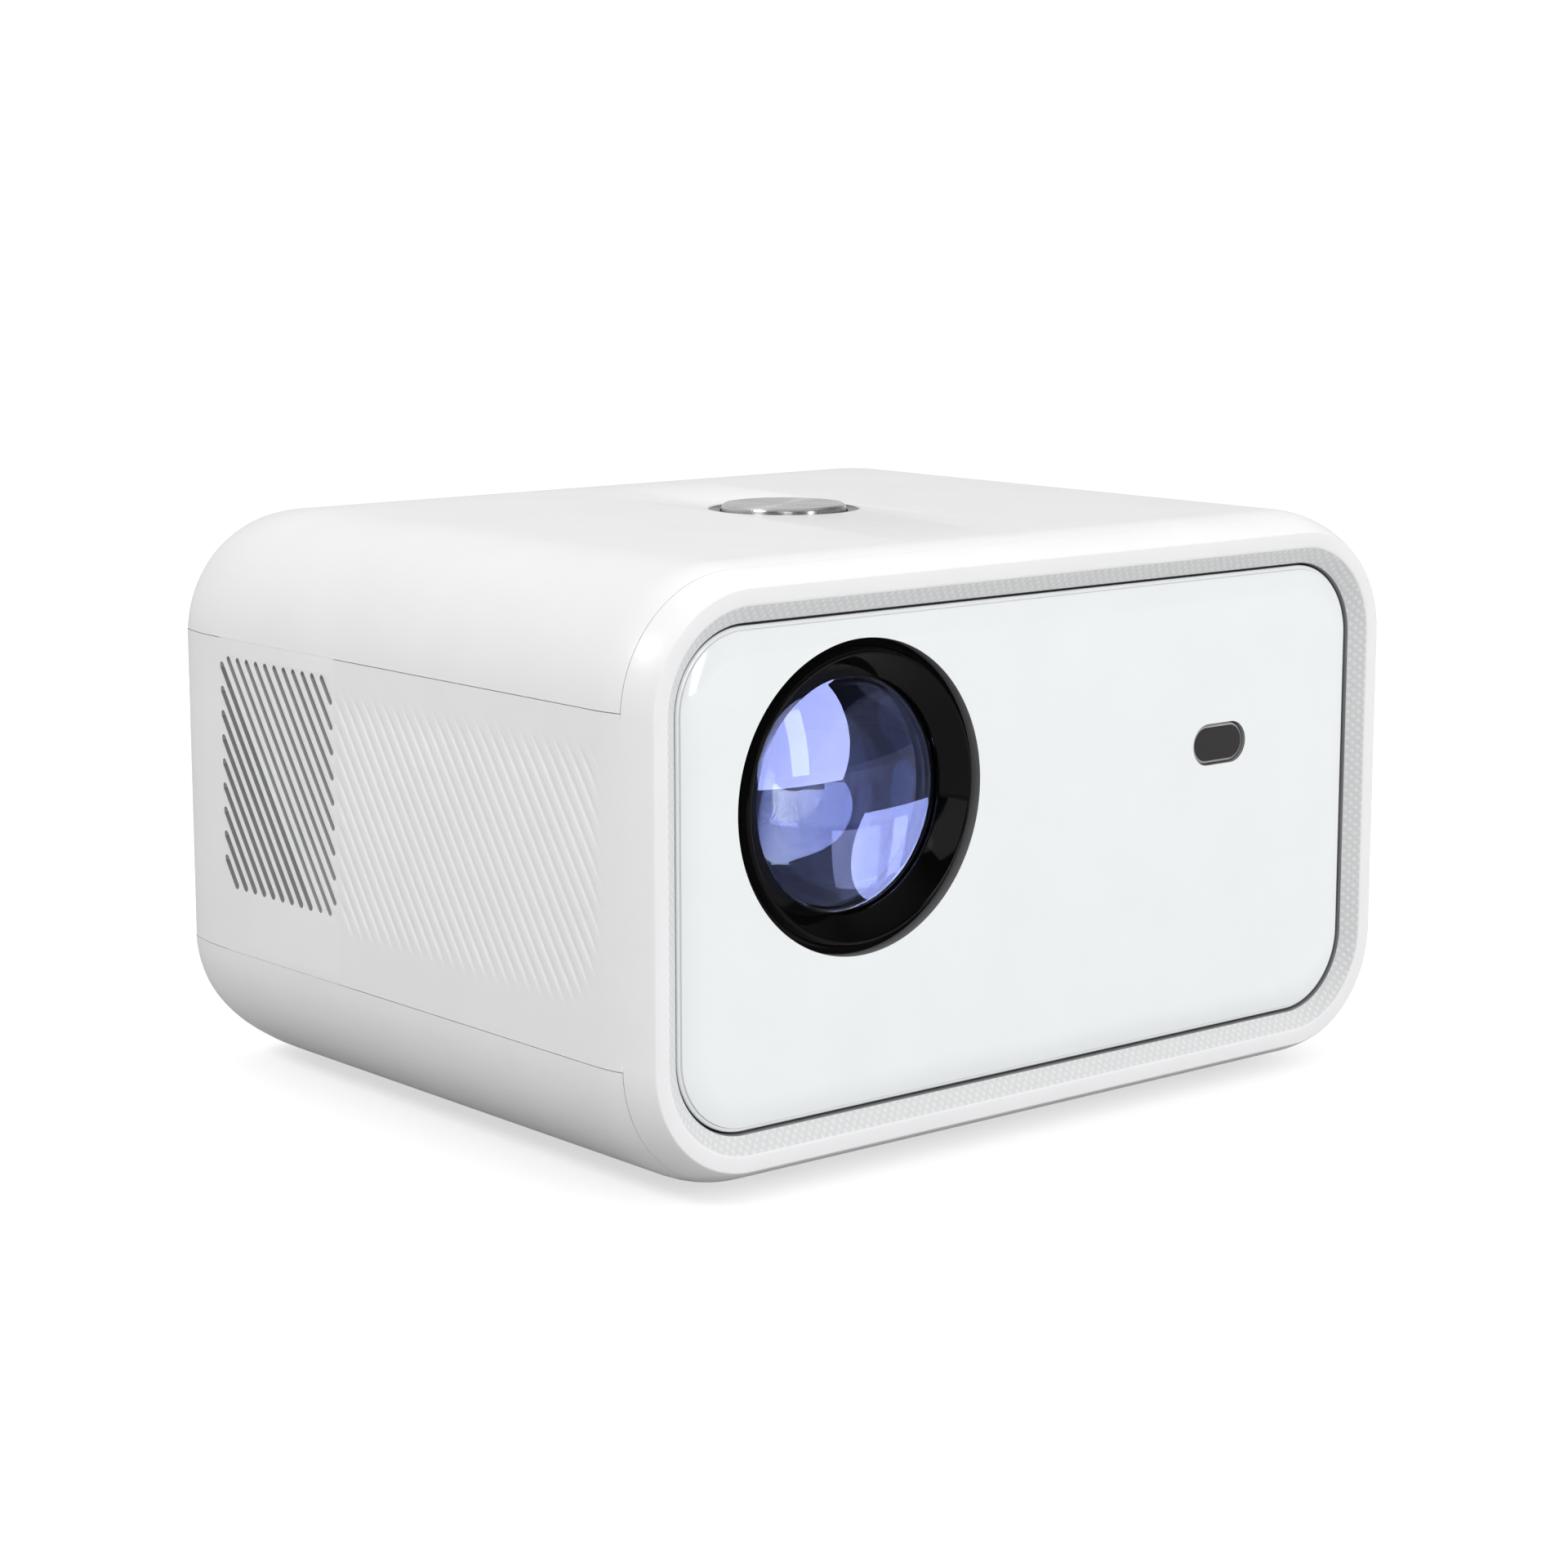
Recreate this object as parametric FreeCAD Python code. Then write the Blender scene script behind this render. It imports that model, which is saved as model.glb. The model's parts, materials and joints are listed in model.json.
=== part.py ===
"""Home projector with a rounded white case, built as separate named pieces.

Units are millimetres.  Every piece is drawn in case coordinates: x runs to the
right as seen from in front, y runs back from the plane of the front rim, and z
runs up from the flat underside of the case.  save_piece() then moves it into the
shared frame, whose origin is on the floor under the middle of the projector.
"""

import math
import os

import FreeCAD
import Part

V = FreeCAD.Vector

# Case
WIDTH = 208.2
DEPTH = 163.0
HEIGHT = 120.0
CORNER_R = 27.3
WALL = 2.4
FOOT_HEIGHT = 2.0
SEAM_GAP = 0.15

# Front rim: the case narrows towards the front, then turns in over a flat band
RIM_INSET = 3.98
TAPER_LENGTH = 13.15
BAND_INSET = 7.16
SLOPE_INSET = 10.9
SLOPE_DEPTH = 2.65
RIM_DEPTH = 5.9

# Rear edge
REAR_INSET = 3.95
REAR_LENGTH = 20.93
REAR_PLATE_THICK = 2.6
REAR_RECESS = 0.8
LEDGE_INSET = 9.0
PLATE_SEAT_INSET = 6.6

# Where the covers meet the front frame
COVER_START = 6.15
TOP_SEAM_Z = HEIGHT - 25.78
BOTTOM_SEAM_Z = 26.63

# Front panel
PANEL_INSET = 11.1
PANEL_PILLOW = 6.5
PANEL_FACE_Y = 1.65
PANEL_EDGE_Y = 2.85
PANEL_BACK_Y = 4.65

# Lens
LENS_X = -47.8
LENS_Z = 72.9
LENS_HOLE_R = 31.1
BARREL_R = 25.4
BARREL_BORE_R = 22.5
FOCUS_TRAVEL = 4.0
FOCUS_TURN_DEG = 120.0
CAM_PIN_Y = 27.0
CAM_PIN_R = 1.2

# Focus gears
GEAR_MODULE = 1.2
PRESSURE_DEG = 25.0
RING_TEETH = 58
PINION_TEETH = 12
BACKLASH = 0.42
PINION_X = LENS_X + GEAR_MODULE * (RING_TEETH + PINION_TEETH) / 2

# Remote-control window
WINDOW_X = 52.4
WINDOW_Z = 72.9
WINDOW_WIDTH = 15.9
WINDOW_HEIGHT = 8.8

# Power button
BUTTON_Y = 82.0
BUTTON_R = 13.5
BUTTON_HOLE_R = 16.35
BUTTON_TOP_Z = HEIGHT + 1.0

# Side grilles: slanted slots, whose centre lines end on this window
SLOT_WIDTH = 1.3
SLOT_PITCH = 3.61
SLOT_SLOPE = 1.446
SLOT_COUNT = 20
SLOT_FIRST_Y = 105.0
GRILLE_Y = (101.9, 143.7)
GRILLE_Z = (41.2, 89.9)

# Slanted flutes moulded on the side walls in front of the grilles
FLUTE_COUNT = 33
FLUTE_FIRST_Y = 17.6
FLUTE_HEIGHT = 0.28
FLUTE_WIDTH = 2.9
FLUTE_Y = (12.0, 99.3)
FLUTE_Z = (36.0, 87.0)
FLUTE_CORNER = (18.0, 20.0)

# Light engine
ENGINE_FRONT_Y = 47.5
ENGINE_STEP_Y = 92.0
ENGINE_BACK_Y = 117.0
ENGINE_HALF_W = 50.0
ENGINE_HALF_H = 32.0
CONDENSER_HALF = 31.0
ENGINE_WALL = 2.5

# Cooling
FAN_X = (-100.8, -85.8)
FAN_Y = 122.8
FAN_Z = 65.6
FAN_SIZE = 50.0
BLOWER_X = -47.8
BLOWER_Y = 70.0
MESH_OUTER_X = 101.35
SHAFT_R = 1.5
BEARING_R = 1.55

# Boards and sockets
MAIN_BOARD_Z = 35.0
POWER_BOARD_Z = 9.0
BOARD_THICK = 1.6
SOCKET_END_Y = 160.6
SOCKET_GAP = 0.3
JACK_X = 68.5
JACK_Z = 41.0

# Speaker
SPEAKER_X = 64.0
SPEAKER_Y = 49.0

# Fasteners and the posts inside the covers, which start within the cover's wall
POST_FOOT_Z = 1.8
SCREW_R = 1.4
SCREW_HEAD_R = 2.9
REAR_POST_X = (-60.0, 80.0)
REAR_POST_Y = 154.0
FRONT_BOSS_X = (-60.0, 60.0)
FRONT_BOSS_Y = 13.0
BASE_SCREWS = [(x, REAR_POST_Y) for x in REAR_POST_X] + [(x, FRONT_BOSS_Y) for x in FRONT_BOSS_X]
REAR_SCREWS = [(x, z) for x in (-88.0, 88.0) for z in (16.5, 103.5)]
FEET = [(x, y) for x in (-62.0, 62.0) for y in (30.0, 130.0)]
FOOT_R = 7.0
TRIPOD_Y = 81.5
TRIPOD_HOLE_R = 2.55


# ---------------------------------------------------------------- basic solids

def block(x0, x1, y0, y1, z0, z1):
    """Box between two corners."""
    return Part.makeBox(x1 - x0, y1 - y0, z1 - z0, V(x0, y0, z0))


def rod_x(radius, x0, x1, y, z):
    """Cylinder along x."""
    return Part.makeCylinder(radius, x1 - x0, V(x0, y, z), V(1, 0, 0))


def rod_y(radius, y0, y1, x, z):
    """Cylinder along y."""
    return Part.makeCylinder(radius, y1 - y0, V(x, y0, z), V(0, 1, 0))


def rod_z(radius, z0, z1, x, y):
    """Cylinder along z."""
    return Part.makeCylinder(radius, z1 - z0, V(x, y, z0), V(0, 0, 1))


def joined(pieces):
    """One solid from touching or overlapping pieces."""
    return pieces[0].multiFuse(pieces[1:]).removeSplitter()


def group(pieces):
    """Separate solids kept together in one piece."""
    return Part.makeCompound(pieces)


def turned_y(points, x=LENS_X, z=LENS_Z):
    """Ring turned about an axis along y, from (radius, y) points."""
    corners = [V(x + radius, y, z) for radius, y in points]
    face = Part.Face(Part.makePolygon(corners + corners[:1]))
    return face.revolve(V(x, 0, z), V(0, 1, 0), 360)


def turned_z(points, x, y):
    """Ring turned about an axis along z, from (radius, z) points."""
    corners = [V(x + radius, y, z) for radius, z in points]
    face = Part.Face(Part.makePolygon(corners + corners[:1]))
    return face.revolve(V(x, y, 0), V(0, 0, 1), 360)


def rounded_plate(x0, x1, z0, z1, radius, y0, y1):
    """Plate across y with rounded corners."""
    plate = block(x0, x1, y0, y1, z0, z1)
    long_edges = [e for e in plate.Edges if abs(e.tangentAt(e.FirstParameter).y) > 0.99]
    return plate.makeFillet(radius, long_edges)


def case_plate(inset, y0, y1):
    """Plate that follows the case outline at the given inset."""
    half = WIDTH / 2 - inset
    return rounded_plate(-half, half, inset, HEIGHT - inset, CORNER_R - inset, y0, y1)


def pill_y(x, z, width, height, y0, y1):
    """Pill-shaped plate across y, with fully round ends."""
    reach = (width - height) / 2
    ends = [rod_y(height / 2, y0, y1, x + side * reach, z) for side in (-1, 1)]
    middle = block(x - reach, x + reach, y0, y1, z - height / 2, z + height / 2)
    return joined([middle] + ends)


def lens_glass(radius, front_y, front_sag, back_y, back_sag, x=LENS_X, z=LENS_Z):
    """Lens: its faces cross the axis at front_y and back_y and fall away by the sags."""
    axis_front = V(x, front_y, z)
    axis_back = V(x, back_y, z)
    rim_front = V(x + radius, front_y + front_sag, z)
    rim_back = V(x + radius, back_y - back_sag, z)
    edges = [Part.makeLine(axis_back, axis_front)]
    edges.append(dome_edge(axis_front, rim_front))
    edges.append(Part.makeLine(rim_front, rim_back))
    edges.append(dome_edge(rim_back, axis_back))
    face = Part.Face(Part.Wire(edges))
    return face.revolve(V(x, 0, z), V(0, 1, 0), 360)


def dome_edge(start, end):
    """Arc of a sphere centred on the lens axis, or a straight line for a flat face."""
    sag = end.y - start.y
    if abs(sag) < 1e-6:
        return Part.makeLine(start, end)
    apex, rim = (start, end) if abs(start.x - LENS_X) < 1e-6 else (end, start)
    half_width = rim.x - apex.x
    drop = rim.y - apex.y
    sphere_r = (half_width ** 2 + drop ** 2) / (2 * drop)
    angle = math.asin(half_width / abs(sphere_r)) / 2
    middle = V(apex.x + abs(sphere_r) * math.sin(angle),
               apex.y + sphere_r * (1 - math.cos(angle)), apex.z)
    return Part.Arc(start, middle, end).toShape()


# ---------------------------------------------------------------- case shell

def taper_inset(y):
    """How far the outer wall has drawn in at distance y behind the rim plane."""
    if y < TAPER_LENGTH:
        arc_r = (TAPER_LENGTH ** 2 + RIM_INSET ** 2) / (2 * RIM_INSET)
        return arc_r - math.sqrt(arc_r ** 2 - (TAPER_LENGTH - y) ** 2)
    rear_start = DEPTH - REAR_LENGTH
    if y > rear_start:
        reach = (y - rear_start) / REAR_LENGTH
        return REAR_INSET * (1 - math.sqrt(max(1 - reach ** 2, 0)))
    return 0.0


def curve_points(y0, y1, count, inset=0.0):
    """Points (inset, y) on the outer wall, or on a line set in from it."""
    steps = [y0 + (y1 - y0) * i / count for i in range(count + 1)]
    return [(taper_inset(y) + inset, y) for y in steps]


def rear_curve_points():
    """Points (inset, y) on the elliptical rear edge, from the rear plane forwards."""
    angles = [math.radians(90 - 90 * i / 6) for i in range(7)]
    return [(REAR_INSET * (1 - math.cos(a)), DEPTH - REAR_LENGTH * (1 - math.sin(a)))
            for a in angles]


def profile_edge(points, place):
    """Line through two placed points, or a smooth curve through more."""
    placed = [place(inset, y) for inset, y in points]
    if len(placed) == 2:
        return Part.makeLine(placed[0], placed[1])
    curve = Part.BSplineCurve()
    curve.interpolate(placed)
    return curve.toShape()


def around_case(profile):
    """Sweep a closed (inset, y) profile round the rounded-rectangle case outline."""
    reach_x = WIDTH / 2 - CORNER_R
    reach_z = HEIGHT / 2 - CORNER_R
    centres = [V(sx * reach_x, 0, HEIGHT / 2 + sz * reach_z)
               for sx, sz in ((1, 1), (-1, 1), (-1, -1), (1, -1))]

    def section(centre, degrees):
        outward = V(math.cos(math.radians(degrees)), 0, math.sin(math.radians(degrees)))

        def place(inset, y):
            return centre + outward * (CORNER_R - inset) + V(0, y, 0)

        return Part.Face(Part.Wire([profile_edge(points, place) for points in profile]))

    pieces = []
    for index, centre in enumerate(centres):
        following = centres[(index + 1) % 4]
        pieces.append(section(centre, 90 * index).revolve(centre, V(0, -1, 0), 90))
        pieces.append(section(centre, 90 * (index + 1)).extrude(following - centre))
    return joined(pieces)


def case_shell():
    """The whole outer shell, before it is split into frame and covers."""
    rear_start = DEPTH - REAR_LENGTH
    seat_y = DEPTH - REAR_RECESS - REAR_PLATE_THICK
    ledge_y = seat_y - 2.6
    rim_back = (taper_inset(RIM_DEPTH) + WALL, RIM_DEPTH)
    taper_end = (WALL, TAPER_LENGTH)
    wall_end = (WALL, rear_start)
    outer_taper = curve_points(0, TAPER_LENGTH, 4)
    inner_taper = curve_points(RIM_DEPTH, TAPER_LENGTH, 3, WALL)
    corners = [
        (RIM_INSET, 0), (BAND_INSET, 0), (SLOPE_INSET, SLOPE_DEPTH), (SLOPE_INSET, RIM_DEPTH),
        rim_back,
    ]
    rear_corners = [
        taper_end, wall_end, (3.4, ledge_y), (LEDGE_INSET, ledge_y), (LEDGE_INSET, seat_y),
        (PLATE_SEAT_INSET, seat_y), (PLATE_SEAT_INSET, DEPTH), (REAR_INSET, DEPTH),
    ]
    profile = [corners[i:i + 2] for i in range(len(corners) - 1)]
    profile.append(inner_taper)
    profile += [rear_corners[i:i + 2] for i in range(len(rear_corners) - 1)]
    profile.append(rear_curve_points())
    profile.append([(0, rear_start), (0, TAPER_LENGTH)])
    profile.append(outer_taper[::-1])
    return around_case(profile)


def slot_ends(index):
    """Lower and upper centre points (y, z) of one grille slot."""
    top_y = SLOT_FIRST_Y + SLOT_PITCH * index
    return clipped_line(top_y, GRILLE_Z[1], GRILLE_Y, GRILLE_Z)


def clipped_line(top_y, top_z, y_range, z_range):
    """Slanted line through (top_y, top_z), cut off at the window's edges."""
    lower_y = max(top_y - (top_z - z_range[0]) / SLOT_SLOPE, y_range[0])
    upper_y = min(top_y, y_range[1])
    return [(y, top_z - (top_y - y) * SLOT_SLOPE) for y in (lower_y, upper_y)]


def slanted_slot(ends, width, x0, x1):
    """Cutter for one slanted slot through a side wall, with round ends."""
    (y0, z0), (y1, z1) = ends
    length = math.hypot(y1 - y0, z1 - z0)
    middle = block(x0, x1, 0, length, -width / 2, width / 2)
    tilt = math.degrees(math.atan2(z1 - z0, y1 - y0))
    middle.rotate(V(0, 0, 0), V(1, 0, 0), tilt)
    middle.translate(V(0, y0, z0))
    return joined([middle, rod_x(width / 2, x0, x1, y0, z0), rod_x(width / 2, x0, x1, y1, z1)])


def grille_cutters():
    """Cutters for the grille slots of both side walls."""
    cutters = []
    outer = WIDTH / 2 + 1
    inner = WIDTH / 2 - WALL - 1
    for index in range(SLOT_COUNT):
        ends = slot_ends(index)
        cutters.append(slanted_slot(ends, SLOT_WIDTH, inner, outer))
        cutters.append(slanted_slot(ends, SLOT_WIDTH, -outer, -inner))
    return cutters


def flute(side, ends):
    """One shallow raised flute on a side wall, fading out at both ends."""
    (y0, z0), (y1, z1) = ends
    length = math.hypot(y1 - y0, z1 - z0)
    along = V(0, (y1 - y0) / length, (z1 - z0) / length)
    across = V(0, along.z, -along.y)
    wall_x = side * WIDTH / 2
    start = V(wall_x - side * 0.2, y0, z0)

    def point(distance, offset, height):
        return start + along * distance + across * offset + V(side * height, 0, 0)

    taper = 0.3 * length
    tips = [point(0, 0, 0), point(length, 0, 0)]
    low = [point(d, -FLUTE_WIDTH * 0.7, 0) for d in (taper, length - taper)]
    high = [point(d, FLUTE_WIDTH * 0.3, 0) for d in (taper, length - taper)]
    crest = [point(d, FLUTE_WIDTH * 0.1, FLUTE_HEIGHT + 0.2) for d in (taper, length - taper)]
    outlines = [
        [tips[0], low[0], low[1], tips[1], high[1], high[0]],
        [low[0], low[1], crest[1], crest[0]],
        [high[0], crest[0], crest[1], high[1]],
        [tips[0], low[0], crest[0]],
        [tips[0], crest[0], high[0]],
        [tips[1], crest[1], low[1]],
        [tips[1], high[1], crest[1]],
    ]
    faces = [Part.Face(Part.makePolygon(line + line[:1])) for line in outlines]
    solid = Part.Solid(Part.Shell(faces))
    if solid.Volume < 0:
        solid.reverse()
    return solid


def corner_trim(y, z):
    """How far along y a flute's lower end moves to clear the cut-off lower front corner."""
    share = (y - FLUTE_Y[0]) / FLUTE_CORNER[0] + (z - FLUTE_Z[0]) / FLUTE_CORNER[1]
    return max(0.0, 1 - share) / (1 / FLUTE_CORNER[0] + SLOT_SLOPE / FLUTE_CORNER[1])


def flutes():
    """The raised flutes of both side walls."""
    pieces = []
    for index in range(FLUTE_COUNT):
        top_y = FLUTE_FIRST_Y + SLOT_PITCH * index
        (y0, z0), (y1, z1) = clipped_line(top_y, FLUTE_Z[1], FLUTE_Y, FLUTE_Z)
        rise = corner_trim(y0, z0)
        y0 += rise
        z0 += rise * SLOT_SLOPE
        if z1 - z0 > 9:
            pieces += [flute(side, [(y0, z0), (y1, z1)]) for side in (-1, 1)]
    return pieces


def front_frame(shell):
    """White front rim and both side walls, moulded in one."""
    back = DEPTH + 1
    reach = WIDTH / 2 + 1
    above = block(-reach, reach, COVER_START, back, TOP_SEAM_Z, HEIGHT + 1)
    below = block(-reach, reach, COVER_START, back, -1, BOTTOM_SEAM_Z)
    frame = shell.cut([above, below])
    frame = frame.fuse(flutes())
    return frame.cut(grille_cutters()).removeSplitter()


def top_cover(shell):
    """Top shell with the button hole, board hangers and two rear screw posts."""
    reach = WIDTH / 2 + 1
    start_y = COVER_START + SEAM_GAP
    cover = shell.common(block(-reach, reach, start_y, DEPTH + 1, TOP_SEAM_Z + SEAM_GAP, HEIGHT + 1))
    under = HEIGHT - POST_FOOT_Z
    extras = [rod_z(2.5, 107.0, under, x, BUTTON_Y) for x in (-22, 22)]
    extras += [rod_z(3.5, 12.0, under, x, REAR_POST_Y) for x in REAR_POST_X]
    extras += rear_bosses(HEIGHT / 2, HEIGHT)
    cover = cover.fuse(extras)
    holes = [rod_z(BUTTON_HOLE_R, 110, HEIGHT + 1, 0, BUTTON_Y)]
    holes += [rod_y(SCREW_R, 150, DEPTH, x, z) for x, z in REAR_SCREWS]
    holes += [rod_z(SCREW_R, 11, 24, x, REAR_POST_Y) for x in REAR_POST_X]
    return cover.cut(holes).removeSplitter()


def bottom_cover(shell):
    """Bottom shell with board posts, foot recesses, screw holes and air slots."""
    reach = WIDTH / 2 + 1
    start_y = COVER_START + SEAM_GAP
    cover = shell.common(block(-reach, reach, start_y, DEPTH + 1, -1, BOTTOM_SEAM_Z - SEAM_GAP))
    extras = [rod_z(2.5, POST_FOOT_Z, MAIN_BOARD_Z, x, y) for x in (-14, 86) for y in (84, 146)]
    extras += [rod_z(2.5, POST_FOOT_Z, POWER_BOARD_Z, x, y) for x in (17, 74) for y in (78, 128)]
    corners = [(dx, dy) for dx in (-21, 21) for dy in (-21, 21)]
    extras += [rod_z(3.0, POST_FOOT_Z, 8.0, BLOWER_X + dx, BLOWER_Y + dy) for dx, dy in corners]
    extras += [rod_z(4.5, POST_FOOT_Z, 12.0, x, REAR_POST_Y) for x in REAR_POST_X]
    extras += [rod_z(4.5, POST_FOOT_Z, 6.0, x, FRONT_BOSS_Y) for x in FRONT_BOSS_X]
    extras.append(rod_z(8.0, POST_FOOT_Z, 12.5, 0, TRIPOD_Y))
    extras += rear_bosses(0, HEIGHT / 2)
    cover = cover.fuse(extras)
    cutters = [rod_z(FOOT_R + 0.1, -1, 0.8, x, y) for x, y in FEET]
    cutters += [rod_z(SCREW_R + 0.3, -1, 14, x, y) for x, y in BASE_SCREWS]
    cutters += [rod_z(SCREW_HEAD_R + 0.4, -1, 2.2, x, y) for x, y in BASE_SCREWS]
    cutters += [rod_y(SCREW_R, 150, DEPTH, x, z) for x, z in REAR_SCREWS]
    cutters.append(rod_z(5.0, -1, 12.0, 0, TRIPOD_Y))
    cutters += [block(x - 1, x + 1, 40, 64, -1, 3) for x in range(49, 82, 5)]
    cutters += [block(x - 1, x + 1, 52, 88, -1, 3) for x in range(-65, -30, 5)]
    return cover.cut(cutters).removeSplitter()


def rear_bosses(low_z, high_z):
    """Bosses for the rear plate's screws between two heights."""
    seat_y = DEPTH - REAR_RECESS - REAR_PLATE_THICK
    return [rod_y(4.2, seat_y - 9.0, seat_y, x, z) for x, z in REAR_SCREWS if low_z < z < high_z]


def rear_panel():
    """Flat rear plate with slanted air slots and the socket openings."""
    y0 = DEPTH - REAR_RECESS - REAR_PLATE_THICK
    y1 = DEPTH - REAR_RECESS
    plate = case_plate(PLATE_SEAT_INSET + 0.15, y0, y1)
    cutters = []
    for start_x in range(-86, 78, 6):
        if -20 < start_x < 6:
            continue
        slot = pill_y(0, 0, 36.0, 1.9, y0 - 1, y1 + 1)
        slot.rotate(V(0, 0, 0), V(0, 1, 0), -60)
        slot.translate(V(start_x + 9, 0, 80))
        cutters.append(slot)
    for x0, x1, z0, z1 in socket_openings():
        cutters.append(block(x0 - SOCKET_GAP, x1 + SOCKET_GAP, y0 - 1, y1 + 1,
                             z0 - SOCKET_GAP, z1 + SOCKET_GAP))
    cutters.append(rod_y(4.3, y0 - 1, y1 + 1, JACK_X, JACK_Z))
    cutters += [rod_y(SCREW_R, y0 - 1, y1 + 1, x, z) for x, z in REAR_SCREWS]
    return plate.cut(cutters)


def front_panel():
    """Glossy front panel with softly falling edges, a lens hole and a window hole."""
    fall = [(PANEL_INSET + PANEL_PILLOW * i / 5,
             PANEL_FACE_Y + (PANEL_EDGE_Y - PANEL_FACE_Y) * (1 - i / 5) ** 2) for i in range(6)]
    inner = PANEL_INSET + PANEL_PILLOW
    profile = [
        fall,
        [(inner, PANEL_FACE_Y), (inner, PANEL_BACK_Y)],
        [(inner, PANEL_BACK_Y), (PANEL_INSET, PANEL_BACK_Y)],
        [(PANEL_INSET, PANEL_BACK_Y), (PANEL_INSET, PANEL_EDGE_Y)],
    ]
    panel = around_case(profile).fuse(case_plate(inner, PANEL_FACE_Y, PANEL_BACK_Y))
    lens_hole = rod_y(LENS_HOLE_R, 0, 6, LENS_X, LENS_Z)
    window_hole = pill_y(WINDOW_X, WINDOW_Z, WINDOW_WIDTH, WINDOW_HEIGHT, 0, 6)
    return panel.cut([lens_hole, window_hole]).removeSplitter()


def panel_carrier():
    """Black plate behind the front panel, with two screw bosses for the bottom cover."""
    flange_y = 7.9
    plate = case_plate(PANEL_INSET + 0.1, PANEL_BACK_Y, RIM_DEPTH)
    plate = plate.fuse(case_plate(5.2, RIM_DEPTH, flange_y))
    bosses = [block(x - 5, x + 5, flange_y - 0.5, 17.5, 6.0, 17.0) for x in FRONT_BOSS_X]
    cutters = [rod_y(31.0, 4, 6.8, LENS_X, LENS_Z), rod_y(27.3, 4, 9, LENS_X, LENS_Z)]
    cutters.append(pill_y(WINDOW_X, WINDOW_Z, 12.0, 5.6, 4, 9))
    cutters += [rod_z(SCREW_R, 5, 14, x, FRONT_BOSS_Y) for x in FRONT_BOSS_X]
    return plate.fuse(bosses).cut(cutters).removeSplitter()


# ---------------------------------------------------------------- front fittings

def lens_trim_ring():
    """Glossy black ring set into the panel: a groove, a raised lip and an inner cone."""
    return turned_y([
        (30.9, 3.8), (29.6, 3.6), (28.8, 1.7), (28.4, 1.4), (28.0, 1.5), (23.5, 5.3),
        (23.5, 6.1), (27.5, 6.1), (27.5, 6.8), (30.9, 6.8),
    ])


def remote_window():
    """Dark infrared window with a chamfered edge."""
    width = WINDOW_WIDTH - 0.4
    height = WINDOW_HEIGHT - 0.4
    pane = pill_y(WINDOW_X, WINDOW_Z, width, height, 2.2, PANEL_BACK_Y)
    front_edges = [e for e in pane.Edges if e.BoundBox.YMax < 2.21]
    return pane.makeChamfer(0.45, front_edges)


def remote_board():
    """Small circuit board of the remote-control receiver."""
    return block(WINDOW_X - 10, WINDOW_X + 10, 10.4, 11.6, WINDOW_Z - 7, WINDOW_Z + 7)


def remote_receiver():
    """Infrared receiver between the window and its board."""
    body = block(WINDOW_X - 6.5, WINDOW_X + 6.5, 7.9, 10.4, WINDOW_Z - 3.5, WINDOW_Z + 3.5)
    dome = rod_y(2.0, 6.2, 7.9, WINDOW_X, WINDOW_Z)
    return joined([body, dome])


# ---------------------------------------------------------------- power button

def button_ring():
    """Dark ring lining the button hole, hung under the top cover by its flange."""
    under = HEIGHT - WALL
    return turned_z([
        (13.9, 119.0), (15.6, 119.0), (16.2, 119.7), (16.2, under), (19.0, under), (19.0, 115.6),
        (16.2, 115.6), (16.2, 114.0), (13.9, 114.0),
    ], 0, BUTTON_Y)


def power_button():
    """Metal push button: dished cap, stem and a retaining flange under its ring."""
    return turned_z([
        (0, 120.85), (11.6, BUTTON_TOP_Z), (12.9, BUTTON_TOP_Z), (BUTTON_R, 120.4), (BUTTON_R, 113.6),
        (15.2, 113.6), (15.2, 112.6), (0, 112.6),
    ], 0, BUTTON_Y)


def button_board():
    """Circuit board under the button."""
    return block(-27, 27, BUTTON_Y - 9, BUTTON_Y + 9, 105.4, 107.0)


def button_switch():
    """Push switch on the button board."""
    body = block(-3.1, 3.1, BUTTON_Y - 3.1, BUTTON_Y + 3.1, 107.0, 110.4)
    return joined([body, rod_z(1.7, 110.4, 111.4, 0, BUTTON_Y)])


# ---------------------------------------------------------------- focusing lens

def lens_tube():
    """Fixed tube that guides the lens barrel, with a straight slot for the cam pin."""
    tube = turned_y([
        (25.8, 12.0), (27.8, 12.0), (27.8, 15.4), (29.6, 15.4), (29.6, 17.2), (27.8, 17.2),
        (27.8, 34.4), (29.6, 34.4), (29.6, 36.0), (27.8, 36.0), (27.8, 44.5), (33.0, 44.5),
        (33.0, ENGINE_FRONT_Y), (25.8, ENGINE_FRONT_Y),
    ])
    gap = CAM_PIN_R + 0.4
    slot = block(LENS_X - gap, LENS_X + gap, CAM_PIN_Y - gap, CAM_PIN_Y + FOCUS_TRAVEL + gap,
                 LENS_Z + 20, LENS_Z + 32)
    return tube.cut(slot)


def lens_barrel():
    """Sliding barrel that holds the lenses, with its cam pin."""
    barrel = turned_y([
        (24.3, 6.9), (BARREL_R, 6.9), (BARREL_R, 44.0), (BARREL_BORE_R - 1.5, 44.0),
        (BARREL_BORE_R - 1.5, 41.0), (BARREL_BORE_R, 41.0), (BARREL_BORE_R, 30.5),
        (BARREL_BORE_R - 1.5, 30.5), (BARREL_BORE_R - 1.5, 28.5), (BARREL_BORE_R, 28.5),
        (BARREL_BORE_R, 18.5), (BARREL_BORE_R - 1.5, 18.5), (BARREL_BORE_R - 1.5, 11.5),
        (22.0, 10.4), (24.3, 10.4),
    ])
    pin = rod_z(CAM_PIN_R, LENS_Z + 24.0, LENS_Z + 30.0, LENS_X, CAM_PIN_Y)
    return joined([barrel, pin])


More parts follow.
